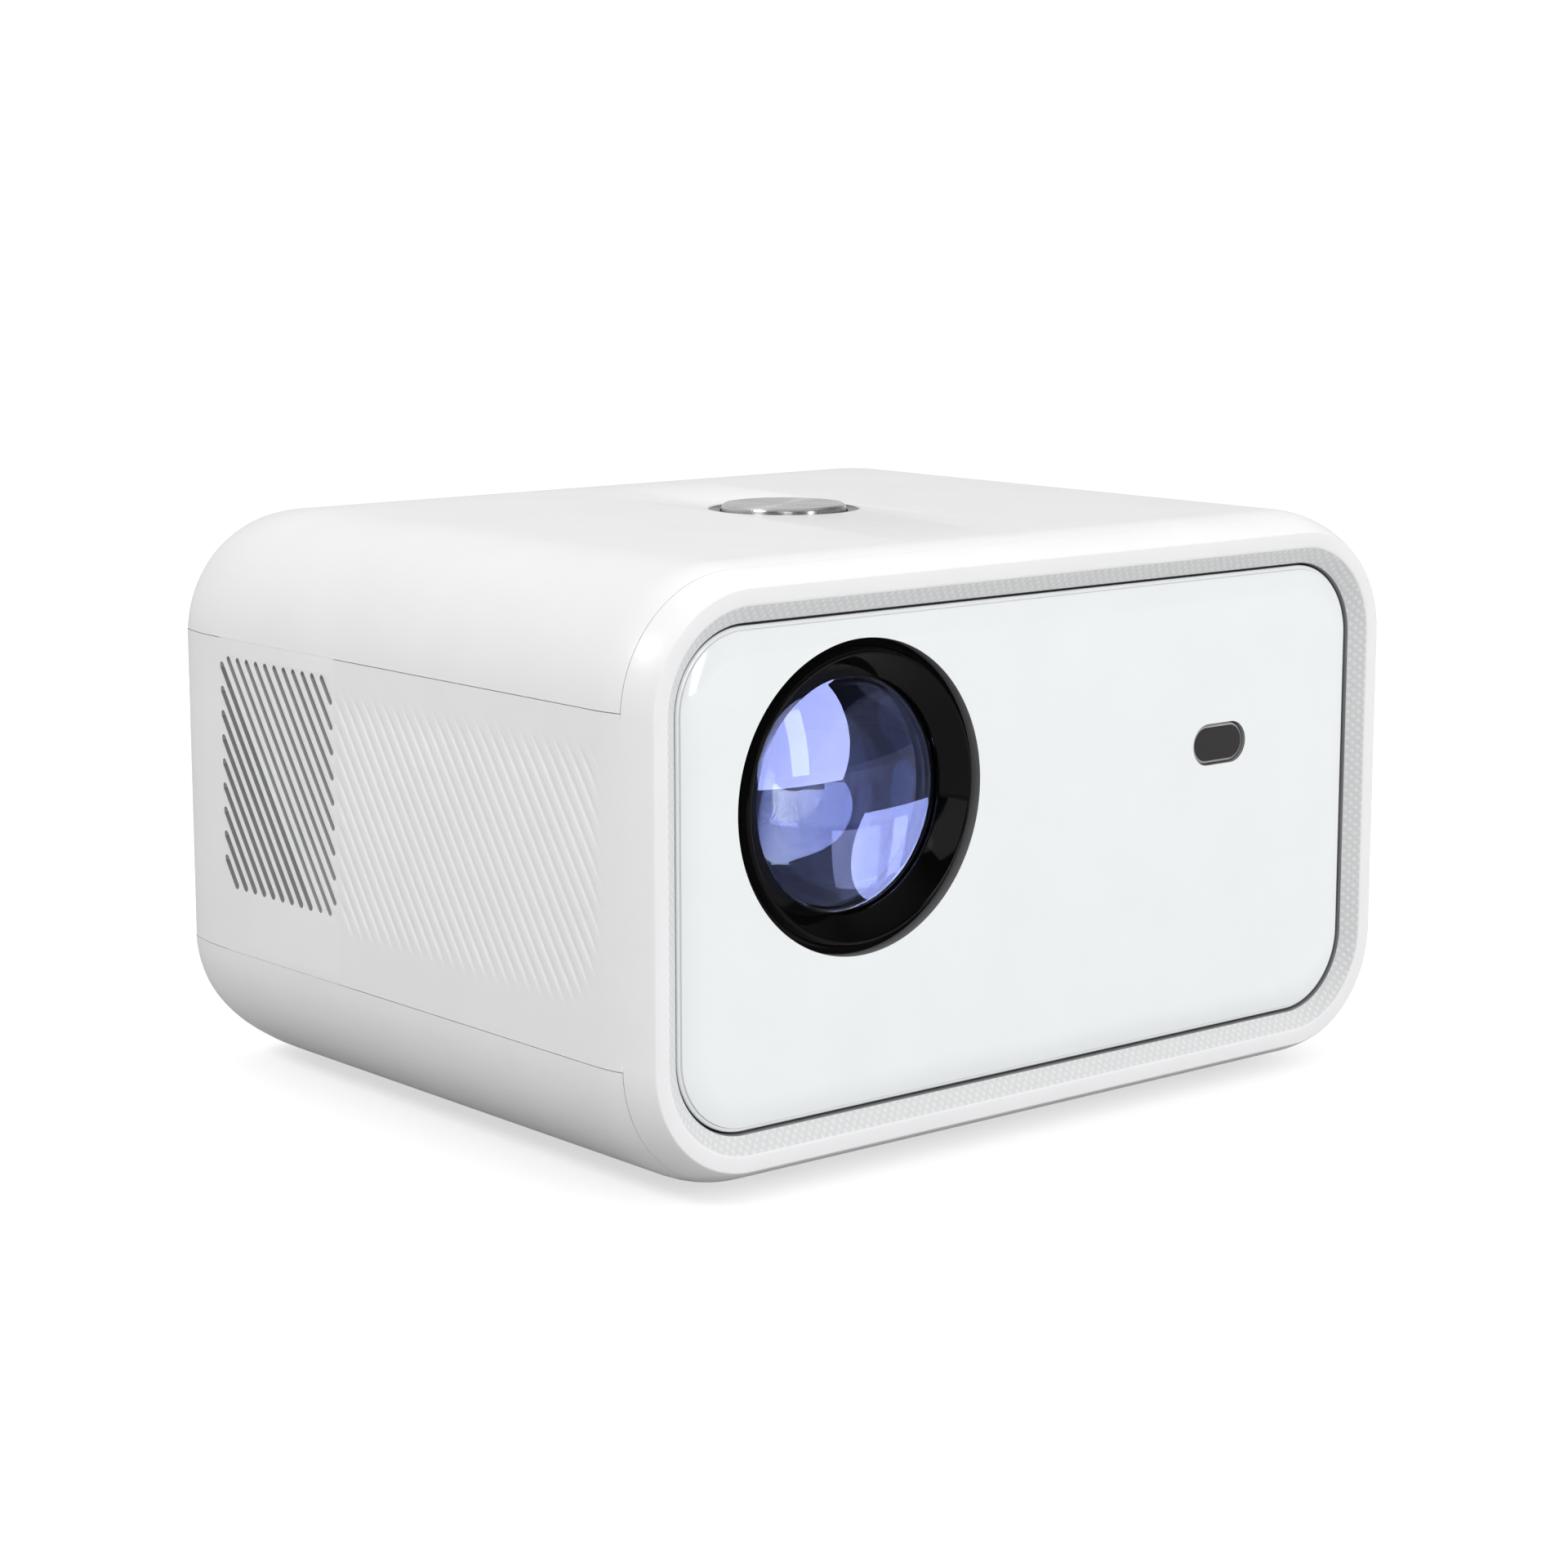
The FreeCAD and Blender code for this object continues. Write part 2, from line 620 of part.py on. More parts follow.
def lens_retainer():
    """Black threaded ring that keeps the front lens in the barrel."""
    return turned_y([(23.1, 6.55), (25.3, 6.55), (25.3, 6.9), (23.1, 6.9)])


def front_lens():
    """Large front lens element."""
    dome = lens_glass(23.05, 2.3, 4.6, 10.4, 0.0)
    flange = rod_y(24.3, 6.9, 10.4, LENS_X, LENS_Z)
    return joined([dome, flange])


def middle_lens():
    """Middle lens element, curved on both faces."""
    glass = lens_glass(BARREL_BORE_R, 17.0, 5.0, 29.0, 3.5)
    return glass.common(rod_y(BARREL_BORE_R, 10, 28.5, LENS_X, LENS_Z))


def rear_lens():
    """Rear lens element."""
    return lens_glass(BARREL_BORE_R, 30.5, 4.0, 41.0, 0.0)


def involute_outline(teeth, turn_deg):
    """Closed list of (u, v) points round a gear with involute teeth."""
    pitch_r = GEAR_MODULE * teeth / 2
    base_r = pitch_r * math.cos(math.radians(PRESSURE_DEG))
    tip_r = pitch_r + 0.8 * GEAR_MODULE
    root_r = pitch_r - 1.1 * GEAR_MODULE
    start_r = max(base_r, root_r)
    pitch_a = math.tan(math.radians(PRESSURE_DEG)) - math.radians(PRESSURE_DEG)
    half_tooth = (math.pi * GEAR_MODULE / 2 - BACKLASH / 2) / (2 * pitch_r)

    def half_angle(radius):
        slant = math.acos(min(base_r / radius, 1.0))
        return half_tooth + pitch_a - (math.tan(slant) - slant)

    radii = [start_r + (tip_r - start_r) * i / 3 for i in range(4)]
    flank = [(radius, half_angle(radius)) for radius in radii]
    if root_r < base_r:
        flank = [(root_r, half_angle(start_r))] + flank
    points = []
    for tooth in range(teeth):
        middle = math.radians(turn_deg) + 2 * math.pi * tooth / teeth
        for radius, angle in flank:
            points.append((radius * math.cos(middle - angle), radius * math.sin(middle - angle)))
        for radius, angle in flank[::-1]:
            points.append((radius * math.cos(middle + angle), radius * math.sin(middle + angle)))
    return points


def toothed_disc(teeth, turn_deg, x, y0, y1):
    """Solid spur gear with its axis along y."""
    corners = [V(x + u, y0, LENS_Z + v) for u, v in involute_outline(teeth, turn_deg)]
    return Part.Face(Part.makePolygon(corners + corners[:1])).extrude(V(0, y1 - y0, 0))


def focus_ring():
    """Toothed ring round the lens tube, whose sloping slot drives the barrel's pin."""
    teeth = toothed_disc(RING_TEETH, 0.0, LENS_X, 17.6, 24.0)
    sleeve = rod_y(30.6, 17.6, 34.0, LENS_X, LENS_Z)
    bore = rod_y(28.2, 17, 35, LENS_X, LENS_Z)
    cutters = [bore]
    steps = 30
    for step in range(steps + 1):
        share = step / steps
        hole = rod_z(CAM_PIN_R + 0.45, LENS_Z + 25, LENS_Z + 34, LENS_X,
                     CAM_PIN_Y + FOCUS_TRAVEL * share)
        hole.rotate(V(LENS_X, 0, LENS_Z), V(0, 1, 0), -FOCUS_TURN_DEG * share)
        cutters.append(hole)
    return joined([teeth, sleeve]).cut(cutters)


def focus_pinion():
    """Small gear on the focus motor's shaft."""
    half_pitch = 180.0 / PINION_TEETH
    gear = toothed_disc(PINION_TEETH, 180.0 + half_pitch, PINION_X, 17.8, 23.8)
    return joined([gear, rod_y(1.0, 12.0, 34.0, PINION_X, LENS_Z)])


def focus_motor():
    """Motor can with a bracket foot that rests on the light engine."""
    can = rod_y(7.0, 26.0, 45.0, PINION_X, LENS_Z)
    foot = block(PINION_X - 9, PINION_X + 7.8, 43.0, ENGINE_FRONT_Y, LENS_Z - 8, LENS_Z + 8)
    bore = rod_y(1.05, 25, 36, PINION_X, LENS_Z)
    return joined([can, foot]).cut([bore, rod_y(33.2, 42, 48, LENS_X, LENS_Z)])


# ---------------------------------------------------------------- light engine

def engine_section(half_w, half_h, y0, y1):
    """Solid length of the light engine, centred on the lens axis."""
    return block(LENS_X - half_w, LENS_X + half_w, y0, y1, LENS_Z - half_h, LENS_Z + half_h)


def optical_box():
    """Closed housing of the light engine: a wide display part and a narrow rear part."""
    wide = engine_section(ENGINE_HALF_W, ENGINE_HALF_H, ENGINE_FRONT_Y, ENGINE_STEP_Y)
    narrow = engine_section(CONDENSER_HALF, CONDENSER_HALF, ENGINE_STEP_Y, ENGINE_BACK_Y)
    t = ENGINE_WALL
    cutters = [
        engine_section(ENGINE_HALF_W - t, ENGINE_HALF_H - t, ENGINE_FRONT_Y + t, ENGINE_STEP_Y - t),
        engine_section(CONDENSER_HALF - t, CONDENSER_HALF - t, ENGINE_STEP_Y - t - 1, ENGINE_BACK_Y - t),
        rod_y(26.2, ENGINE_FRONT_Y - 1, ENGINE_FRONT_Y + t + 1, LENS_X, LENS_Z),
        rod_y(9.0, ENGINE_BACK_Y - t - 1, ENGINE_BACK_Y + 1, LENS_X, LENS_Z),
        block(-14, 0, 70.8, 72.2, 40, 44),
    ]
    return joined([wide, narrow]).cut(cutters)


def engine_plate(y0, y1):
    """Flat plate that fills the wide part of the light engine."""
    return engine_section(ENGINE_HALF_W - ENGINE_WALL, ENGINE_HALF_H - ENGINE_WALL, y0, y1)


def display_frame():
    """Metal frame round the display panel."""
    window = engine_section(44.5, 25.0, 69, 74)
    return engine_plate(70.0, 73.0).cut(window)


def display_panel():
    """Liquid-crystal display panel inside its frame."""
    return engine_section(44.5, 25.0, 70.4, 72.6)


def condenser_lens():
    """Thick flat-backed lens in front of the light source."""
    return lens_glass(28.2, 98.0, 9.0, 110.5, 0.0)


def led_board():
    """Metal-core board of the light source."""
    return engine_section(15.0, 15.0, ENGINE_BACK_Y, 118.6)


def led_emitter():
    """Light-emitting die with its clear dome."""
    base = engine_section(5.5, 5.5, ENGINE_BACK_Y - 1.2, ENGINE_BACK_Y)
    dome = lens_glass(5.0, 113.2, 2.2, ENGINE_BACK_Y - 1.2, 0.0)
    return joined([base, dome])


def heat_sink():
    """Aluminium heat sink with fins that lie along the air stream."""
    back_y = 150.0
    base = block(-77.8, -17.8, 118.6, 123.0, 41.9, 103.9)
    fins = [block(-77.8, -17.8, 123.0, back_y, 41.9 + 3.2 * i, 42.8 + 3.2 * i) for i in range(20)]
    return joined([base] + fins)


# ---------------------------------------------------------------- cooling

def fan_frame():
    """Square fan frame with a round duct, a motor base on struts and a bearing tube."""
    half = FAN_SIZE / 2
    x0, x1 = FAN_X
    frame = block(x0, x1, FAN_Y - half, FAN_Y + half, FAN_Z - half, FAN_Z + half)
    holes = [rod_x(24.0, x0 - 1, x1 + 1, FAN_Y, FAN_Z)]
    corners = [(dy, dz) for dy in (-21, 21) for dz in (-21, 21)]
    holes += [rod_x(1.8, x0 - 1, x1 + 1, FAN_Y + dy, FAN_Z + dz) for dy, dz in corners]
    frame = frame.cut(holes)
    parts = [rod_x(11.0, x1 - 2.2, x1, FAN_Y, FAN_Z), rod_x(3.2, -96.0, x1, FAN_Y, FAN_Z)]
    for angle in (0, 90, 180, 270):
        strut = block(x1 - 2.2, x1, FAN_Y + 10.0, FAN_Y + 24.4, FAN_Z - 1.3, FAN_Z + 1.3)
        strut.rotate(V(x1, FAN_Y, FAN_Z), V(1, 0, 0), angle + 45)
        parts.append(strut)
    frame = joined([frame] + parts)
    return frame.cut(rod_x(BEARING_R, -97, x1 - 0.8, FAN_Y, FAN_Z))


def fan_stator():
    """Coil ring of the fan motor, round the bearing tube."""
    ring = rod_x(8.4, -94.5, -89.0, FAN_Y, FAN_Z)
    return ring.cut(rod_x(3.2, -95, -88, FAN_Y, FAN_Z))


def fan_rotor():
    """Hub, shaft and seven pitched blades of the exhaust fan."""
    hub = rod_x(11.0, -99.6, -88.4, FAN_Y, FAN_Z).cut(rod_x(9.6, -98.2, -88, FAN_Y, FAN_Z))
    parts = [hub, rod_x(SHAFT_R, -99.0, -87.2, FAN_Y, FAN_Z)]
    for index in range(7):
        blade = block(-94.6, -93.4, FAN_Y - 6.0, FAN_Y + 6.0, FAN_Z + 10.3, FAN_Z + 22.2)
        blade.rotate(V(-94.0, FAN_Y, FAN_Z), V(0, 0, 1), 38)
        blade.rotate(V(-94.0, FAN_Y, FAN_Z), V(1, 0, 0), index * 360 / 7)
        parts.append(blade)
    return joined(parts)


def blower_housing():
    """Flat blower housing with a round chamber, a top inlet and a side outlet."""
    x, y = BLOWER_X, BLOWER_Y
    shell = block(x - 25, x + 25, y - 25, y + 25, 8.0, 23.0)
    cutters = [
        rod_z(22.5, 9.5, 21.5, x, y), rod_z(14.5, 20, 24, x, y),
        block(x + 6, x + 22.5, y, y + 26, 9.5, 21.5),
    ]
    tower = rod_z(3.0, 9.4, 16.0, x, y)
    return shell.cut(cutters).fuse(tower).cut(rod_z(BEARING_R, 8.8, 17, x, y)).removeSplitter()


def blower_rotor():
    """Drum of upright vanes on a disc, with hub and shaft."""
    x, y = BLOWER_X, BLOWER_Y
    disc = rod_z(20.0, 17.0, 18.0, x, y)
    hub = rod_z(8.5, 17.0, 19.8, x, y)
    parts = [disc, hub, rod_z(SHAFT_R, 9.3, 18.0, x, y)]
    for index in range(20):
        vane = block(x + 15.0, x + 19.6, y - 0.5, y + 0.5, 10.2, 17.2)
        vane.rotate(V(x + 19.6, y, 0), V(0, 0, 1), 25)
        vane.rotate(V(x, y, 0), V(0, 0, 1), index * 18)
        parts.append(vane)
    return joined(parts)


def dust_mesh():
    """Thin dark mesh sheets just inside both grilles."""
    x1 = MESH_OUTER_X
    return group([
        block(-x1, -x1 + 0.5, 99, 146.5, 38.2, 92.8),
        block(x1 - 0.5, x1, 99, 146.5, 38.2, 92.8),
    ])


def dust_filter():
    """Foam filter block behind the right-hand air intake."""
    return block(95.6, MESH_OUTER_X - 0.5, 99, 146.5, 38.2, 92.8)


# ---------------------------------------------------------------- electronics

def main_board():
    """Main circuit board on four posts."""
    board = block(-18, 90, 80, 150, MAIN_BOARD_Z, MAIN_BOARD_Z + BOARD_THICK)
    return board.cut([rod_z(3.9, 30, 40, x, REAR_POST_Y) for x in REAR_POST_X])


def on_main(x0, x1, y0, y1, height):
    """Component that stands on the main board."""
    top = MAIN_BOARD_Z + BOARD_THICK
    return block(x0, x1, y0, y1, top, top + height)


def board_chips():
    """Flat chips and the flat-cable connector of the main board."""
    places = [(28, 48, 100, 120, 2.0), (54, 66, 100, 112, 1.2), (54, 66, 115, 127, 1.2),
              (8, 20, 104, 116, 1.4), (28, 36, 126, 134, 1.2), (-13, -1, 80.5, 86, 2.0)]
    return group([on_main(*place) for place in places])


def board_capacitors():
    """Round capacitors of the main board."""
    top = MAIN_BOARD_Z + BOARD_THICK
    places = [(74, 122), (82, 122), (74, 131), (82, 131), (14, 94)]
    return group([rod_z(3.1, top, top + 7.5, x, y) for x, y in places])


def chip_cooler():
    """Small finned cooler on the processor."""
    z0 = MAIN_BOARD_Z + BOARD_THICK + 2.0
    base = block(26, 50, 98, 122, z0, z0 + 2)
    fins = [block(26 + 3.8 * i, 27 + 3.8 * i, 98, 122, z0 + 2, z0 + 9) for i in range(7)]
    return joined([base] + fins)


def wireless_module():
    """Shielded wireless module with its edge board."""
    return on_main(66, 86, 86, 100, 2.4)


def display_flex():
    """Flat flexible cable from the display panel to the main board."""
    drop = block(-12, -2, 71.35, 71.65, 37.9, 43.4)
    run = block(-12, -2, 71.35, 80.5, 37.6, 37.9)
    return joined([drop, run])


def socket_openings():
    """Outlines (x0, x1, z0, z1) of the square-cornered sockets in the rear plate."""
    top = MAIN_BOARD_Z + BOARD_THICK
    return [
        (2.0, 17.2, top, top + 6.4), (24.0, 38.5, top, top + 7.2), (46.0, 60.5, top, top + 7.2),
        (41.0, 71.0, 9.2, 28.3),
    ]


def video_socket():
    """Video input socket with its contact tongue."""
    x0, x1, z0, z1 = socket_openings()[0]
    shell = block(x0, x1, 148, SOCKET_END_Y, z0, z1)
    mouth = block(x0 + 0.6, x1 - 0.6, 150.5, SOCKET_END_Y + 1, z0 + 0.6, z1 - 0.6)
    tongue = block(x0 + 2.4, x1 - 2.4, 150.4, SOCKET_END_Y - 1.5, z0 + 2.6, z0 + 3.9)
    return shell.cut(mouth).fuse(tongue).removeSplitter()


def usb_socket(outline):
    """One data socket with its contact tongue."""
    x0, x1, z0, z1 = outline
    shell = block(x0, x1, 146.5, SOCKET_END_Y, z0, z1)
    mouth = block(x0 + 0.6, x1 - 0.6, 149, SOCKET_END_Y + 1, z0 + 0.6, z1 - 0.6)
    tongue = block(x0 + 1.4, x1 - 1.4, 148.9, SOCKET_END_Y - 1.2, z1 - 3.4, z1 - 1.6)
    return shell.cut(mouth).fuse(tongue).removeSplitter()


def usb_sockets():
    """Two data sockets side by side."""
    return group([usb_socket(outline) for outline in socket_openings()[1:3]])


def audio_jack():
    """Round headphone socket."""
    body = block(JACK_X - 3.8, JACK_X + 3.8, 146.5, 150.0, MAIN_BOARD_Z + BOARD_THICK, 45.5)
    nose = rod_y(4.0, 149.9, SOCKET_END_Y, JACK_X, JACK_Z)
    return joined([body, nose]).cut(rod_y(1.8, 148, SOCKET_END_Y + 1, JACK_X, JACK_Z))


def power_inlet():
    """Two-pin mains inlet: a deep oval well in a square body."""
    x0, x1, z0, z1 = socket_openings()[3]
    x, z = (x0 + x1) / 2, (z0 + z1) / 2
    body = block(x0, x1, 141.0, SOCKET_END_Y, z0, z1)
    return body.cut(pill_y(x, z, 21.0, 11.5, 147.0, SOCKET_END_Y + 1))


def inlet_pins():
    """The two brass contact pins of the mains inlet."""
    x0, x1, z0, z1 = socket_openings()[3]
    x, z = (x0 + x1) / 2, (z0 + z1) / 2
    return group([rod_y(1.2, 147.0, SOCKET_END_Y - 2.5, x + side * 4.3, z) for side in (-1, 1)])


def power_board():
    """Power-supply board on four posts."""
    return block(12, 80, 74, 134, POWER_BOARD_Z, POWER_BOARD_Z + BOARD_THICK)


def transformer():
    """Wound transformer of the power supply: core with coil."""
    top = POWER_BOARD_Z + BOARD_THICK
    core = block(18, 46, 92, 116, top, top + 18)
    windows = [block(22, 27, 91, 117, top + 4, top + 14), block(37, 42, 91, 117, top + 4, top + 14)]
    return core.cut(windows)


def power_capacitors():
    """Smoothing capacitors of the power supply."""
    top = POWER_BOARD_Z + BOARD_THICK
    places = [(60, 92, 8.5, 21), (60, 112, 6.5, 18), (19, 83, 5, 14), (31, 83, 5, 14), (43, 83, 5, 14)]
    return group([rod_z(radius, top, top + tall, x, y) for x, y, radius, tall in places])


# ---------------------------------------------------------------- sound

def speaker_box():
    """Closed speaker enclosure, open downwards for the driver."""
    outer = block(32, 88, 26, 72, 6.0, 44.0)
    inner = block(34, 86, 28, 70, 8.0, 42.0)
    return outer.cut([inner, rod_z(20.0, 5, 9, SPEAKER_X, SPEAKER_Y)])


def speaker_driver():
    """Basket and magnet of the loudspeaker."""
    return turned_z([
        (19.0, 4.2), (21.8, 4.2), (21.8, 6.0), (19.9, 6.0), (11.0, 16.0), (11.0, 22.0), (0, 22.0),
        (0, 16.0), (9.6, 16.0), (18.4, 6.0), (19.0, 5.4),
    ], SPEAKER_X, SPEAKER_Y)


def speaker_cone():
    """Paper cone with its dust cap."""
    return turned_z([
        (18.3, 4.6), (18.3, 5.2), (7.0, 13.2), (0, 11.6), (0, 11.0), (7.0, 12.4),
    ], SPEAKER_X, SPEAKER_Y)


# ---------------------------------------------------------------- fasteners, feet

def feet():
    """Four rubber feet in shallow recesses."""
    pads = []
    for x, y in FEET:
        pad = rod_z(FOOT_R, -FOOT_HEIGHT, 0.8, x, y)
        rim = [e for e in pad.Edges if e.BoundBox.ZMax < -FOOT_HEIGHT + 0.01]
        pads.append(pad.makeFillet(0.7, rim))
    return group(pads)


def tripod_insert():
    """Brass tripod socket in the underside."""
    body = rod_z(5.0, 0.0, 12.0, 0, TRIPOD_Y)
    return body.cut(rod_z(TRIPOD_HOLE_R, -1, 10.0, 0, TRIPOD_Y))


def cross_head(x, y, z0, z1):
    """Cutter for a cross-shaped driver recess in a screw head along z."""
    return [block(x - 1.6, x + 1.6, y - 0.35, y + 0.35, z0, z1),
            block(x - 0.35, x + 0.35, y - 1.6, y + 1.6, z0, z1)]


def base_screws():
    """Screws that hold the bottom cover."""
    screws = []
    for x, y in BASE_SCREWS:
        tip_z = 22.0 if y > 100 else 13.5
        screw = joined([rod_z(SCREW_HEAD_R, 0.3, 2.2, x, y), rod_z(SCREW_R, 2.2, tip_z, x, y)])
        screws.append(screw.cut(cross_head(x, y, 0, 1.4)))
    return group(screws)


def rear_screws():
    """Screws that hold the rear plate."""
    screws = []
    face_y = DEPTH - REAR_RECESS
    for x, z in REAR_SCREWS:
        screw = joined([rod_y(SCREW_HEAD_R, face_y, face_y + 0.7, x, z),
                        rod_y(SCREW_R, face_y - 8.0, face_y, x, z)])
        recess = [block(x - 1.6, x + 1.6, face_y + 0.2, face_y + 1, z - 0.35, z + 0.35),
                  block(x - 0.35, x + 0.35, face_y + 0.2, face_y + 1, z - 1.6, z + 1.6)]
        screws.append(screw.cut(recess))
    return group(screws)


# ---------------------------------------------------------------- assembly

def save_piece(name, shape):
    """Move a piece into the shared frame and write it."""
    placed = shape.copy()
    placed.translate(V(0, -DEPTH / 2, FOOT_HEIGHT))
    placed.exportStep("parts/" + name + ".step")


def all_pieces():
    """Every piece of the projector by name."""
    shell = case_shell()
    return {
        "front_frame": front_frame(shell),
        "top_cover": top_cover(shell),
        "bottom_cover": bottom_cover(shell),
        "rear_panel": rear_panel(),
        "front_panel": front_panel(),
        "panel_carrier": panel_carrier(),
        "lens_trim_ring": lens_trim_ring(),
        "remote_window": remote_window(),
        "remote_board": remote_board(),
        "remote_receiver": remote_receiver(),
        "button_ring": button_ring(),
        "power_button": power_button(),
        "button_board": button_board(),
        "button_switch": button_switch(),
        "lens_tube": lens_tube(),
        "lens_barrel": lens_barrel(),
        "lens_retainer": lens_retainer(),
        "front_lens": front_lens(),
        "middle_lens": middle_lens(),
        "rear_lens": rear_lens(),
        "focus_ring": focus_ring(),
        "focus_pinion": focus_pinion(),
        "focus_motor": focus_motor(),
        "optical_box": optical_box(),
        "fresnel_lenses": group([engine_plate(60.0, 62.0), engine_plate(80.0, 82.0)]),
        "display_frame": display_frame(),
        "display_panel": display_panel(),
        "heat_glass": engine_plate(85.0, 87.0),
        "condenser_lens": condenser_lens(),
        "led_board": led_board(),
        "led_emitter": led_emitter(),
        "heat_sink": heat_sink(),
        "fan_frame": fan_frame(),
        "fan_stator": fan_stator(),
        "fan_rotor": fan_rotor(),
        "blower_housing": blower_housing(),
        "blower_rotor": blower_rotor(),
        "dust_mesh": dust_mesh(),
        "dust_filter": dust_filter(),
        "main_board": main_board(),
        "board_chips": board_chips(),
        "board_capacitors": board_capacitors(),
        "chip_cooler": chip_cooler(),
        "wireless_module": wireless_module(),
        "display_flex": display_flex(),
        "video_socket": video_socket(),
        "usb_sockets": usb_sockets(),
        "audio_jack": audio_jack(),
        "power_inlet": power_inlet(),
        "inlet_pins": inlet_pins(),
        "power_board": power_board(),
        "transformer": transformer(),
        "power_capacitors": power_capacitors(),
        "speaker_box": speaker_box(),
        "speaker_driver": speaker_driver(),
        "speaker_cone": speaker_cone(),
        "feet": feet(),
        "tripod_insert": tripod_insert(),
        "base_screws": base_screws(),
        "rear_screws": rear_screws(),
    }


os.makedirs("parts", exist_ok=True)
for piece_name, piece_shape in all_pieces().items():
    save_piece(piece_name, piece_shape)
    print(piece_name, len(piece_shape.Solids), piece_shape.isValid(), round(piece_shape.Volume, 1))
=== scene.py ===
import json
import math

import bmesh
import bpy
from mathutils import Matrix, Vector


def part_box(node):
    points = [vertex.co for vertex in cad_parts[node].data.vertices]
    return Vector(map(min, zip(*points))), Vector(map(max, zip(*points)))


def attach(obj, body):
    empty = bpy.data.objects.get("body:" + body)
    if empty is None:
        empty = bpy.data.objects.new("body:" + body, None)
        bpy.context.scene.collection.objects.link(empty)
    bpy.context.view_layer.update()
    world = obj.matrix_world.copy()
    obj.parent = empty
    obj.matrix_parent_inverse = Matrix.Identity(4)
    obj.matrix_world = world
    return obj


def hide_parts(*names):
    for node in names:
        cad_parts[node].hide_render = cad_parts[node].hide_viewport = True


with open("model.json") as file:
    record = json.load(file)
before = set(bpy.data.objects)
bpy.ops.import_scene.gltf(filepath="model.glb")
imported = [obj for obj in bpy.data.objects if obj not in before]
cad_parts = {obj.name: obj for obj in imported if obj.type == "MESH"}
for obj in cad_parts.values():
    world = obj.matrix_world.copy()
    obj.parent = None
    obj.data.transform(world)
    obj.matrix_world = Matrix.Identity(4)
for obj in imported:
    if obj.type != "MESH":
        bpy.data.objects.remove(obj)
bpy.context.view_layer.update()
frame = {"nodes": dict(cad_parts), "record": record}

# The meshes below are drawn in case millimetres: x to the right, y back from the
# front rim, z up from the underside of the case. in_frame() turns them into metres.
MM = 0.001
FRAME_LOW, FRAME_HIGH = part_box("front_frame")
COVER_LOW, COVER_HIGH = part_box("top_cover")
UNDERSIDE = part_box("bottom_cover")[0].z
ORIGIN = Vector(((COVER_LOW.x + COVER_HIGH.x) / 2, FRAME_LOW.y, UNDERSIDE))


def in_frame(x, y, z):
    """A point in case millimetres, as metres in the shared frame."""
    return ORIGIN + Vector((x, y, z)) * MM


def in_case(point):
    """A point of the shared frame, in case millimetres."""
    return (Vector(point) - ORIGIN) / MM


def centre_of(node):
    """Middle of a CAD node's box, in case millimetres."""
    low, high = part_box(node)
    return in_case((low + high) / 2)


# ---------------------------------------------------------------- sizes, mm

HALF_W = (COVER_HIGH.x - COVER_LOW.x) / 2 / MM
DEPTH = in_case(COVER_HIGH).y
HEIGHT = in_case(COVER_HIGH).z
CORNER_R = 27.3
ARC_X = HALF_W - CORNER_R
ARC_LOW = CORNER_R
ARC_HIGH = HEIGHT - CORNER_R
WALL = 2.4

RIM_INSET = 3.98
TAPER_LENGTH = 13.15
BAND_INSET = 7.16
SLOPE_INSET = 10.9
SLOPE_DEPTH = 2.65
RIM_DEPTH = 5.9
REAR_INSET = 3.95
REAR_LENGTH = 20.93
SEAT_INSET = 6.6
SEAT_Y = DEPTH - 3.4
LEDGE_INSET = 9.0
LEDGE_Y = SEAT_Y - 2.6
COVER_START = 6.15
SEAM_GAP = 0.15
TOP_SEAM = HEIGHT - 25.78
BOTTOM_SEAM = 26.63

PANEL_INSET = 11.3
PANEL_PILLOW = 6.5
PANEL_FACE_Y = 1.65
PANEL_EDGE_Y = 2.85
PANEL_BACK_Y = 4.65

LENS = centre_of("lens_trim_ring")
LENS_HOLE_R = 31.1
WINDOW = centre_of("remote_window")
WINDOW_SIZE = (15.9, 8.8)
BUTTON = centre_of("power_button")
BUTTON_HOLE_R = 16.35

SLOT_SLOPE = 1.446
SLOT_PITCH = 3.61
SLOT_WIDTH = 1.3
SLOT_COUNT = 20
SLOT_FIRST_Y = 105.0
GRILLE_Y = (101.9, 143.7)
GRILLE_Z = (41.2, 89.9)
PLATE_Y = (100.6, 144.3)

FLUTE_START_Y = 10.0
FLUTE_PHASE_Y = 17.6 - 87.0 / SLOT_SLOPE
FLUTE_DEPTH = 0.30


# ---------------------------------------------------------------- mesh tools

def make_piece(name, points, faces, material, body="housing", node=None, sharp=32.0):
    """Mesh object from case-millimetre points, riding on a body and standing for a CAD node."""
    mesh = bpy.data.meshes.new(name)
    mesh.from_pydata([in_frame(*p) for p in points], [], faces)
    tidy_mesh(mesh, sharp)
    obj = bpy.data.objects.new(name, mesh)
    bpy.context.scene.collection.objects.link(obj)
    settle(obj, material, body, node)
    return obj


def tidy_mesh(mesh, sharp):
    """Merge doubled points, face all outwards and smooth all but the sharp edges."""
    work = bmesh.new()
    work.from_mesh(mesh)
    bmesh.ops.remove_doubles(work, verts=work.verts, dist=1e-6)
    bmesh.ops.recalc_face_normals(work, faces=work.faces)
    work.to_mesh(mesh)
    work.free()
    mesh.shade_smooth()
    mesh.set_sharp_from_angle(angle=math.radians(sharp))


def settle(obj, material, body, node):
    """Give a piece its finish, body and CAD node."""
    obj.data.materials.append(MATERIALS[material])
    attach(obj, body)
    if node:
        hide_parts(node)


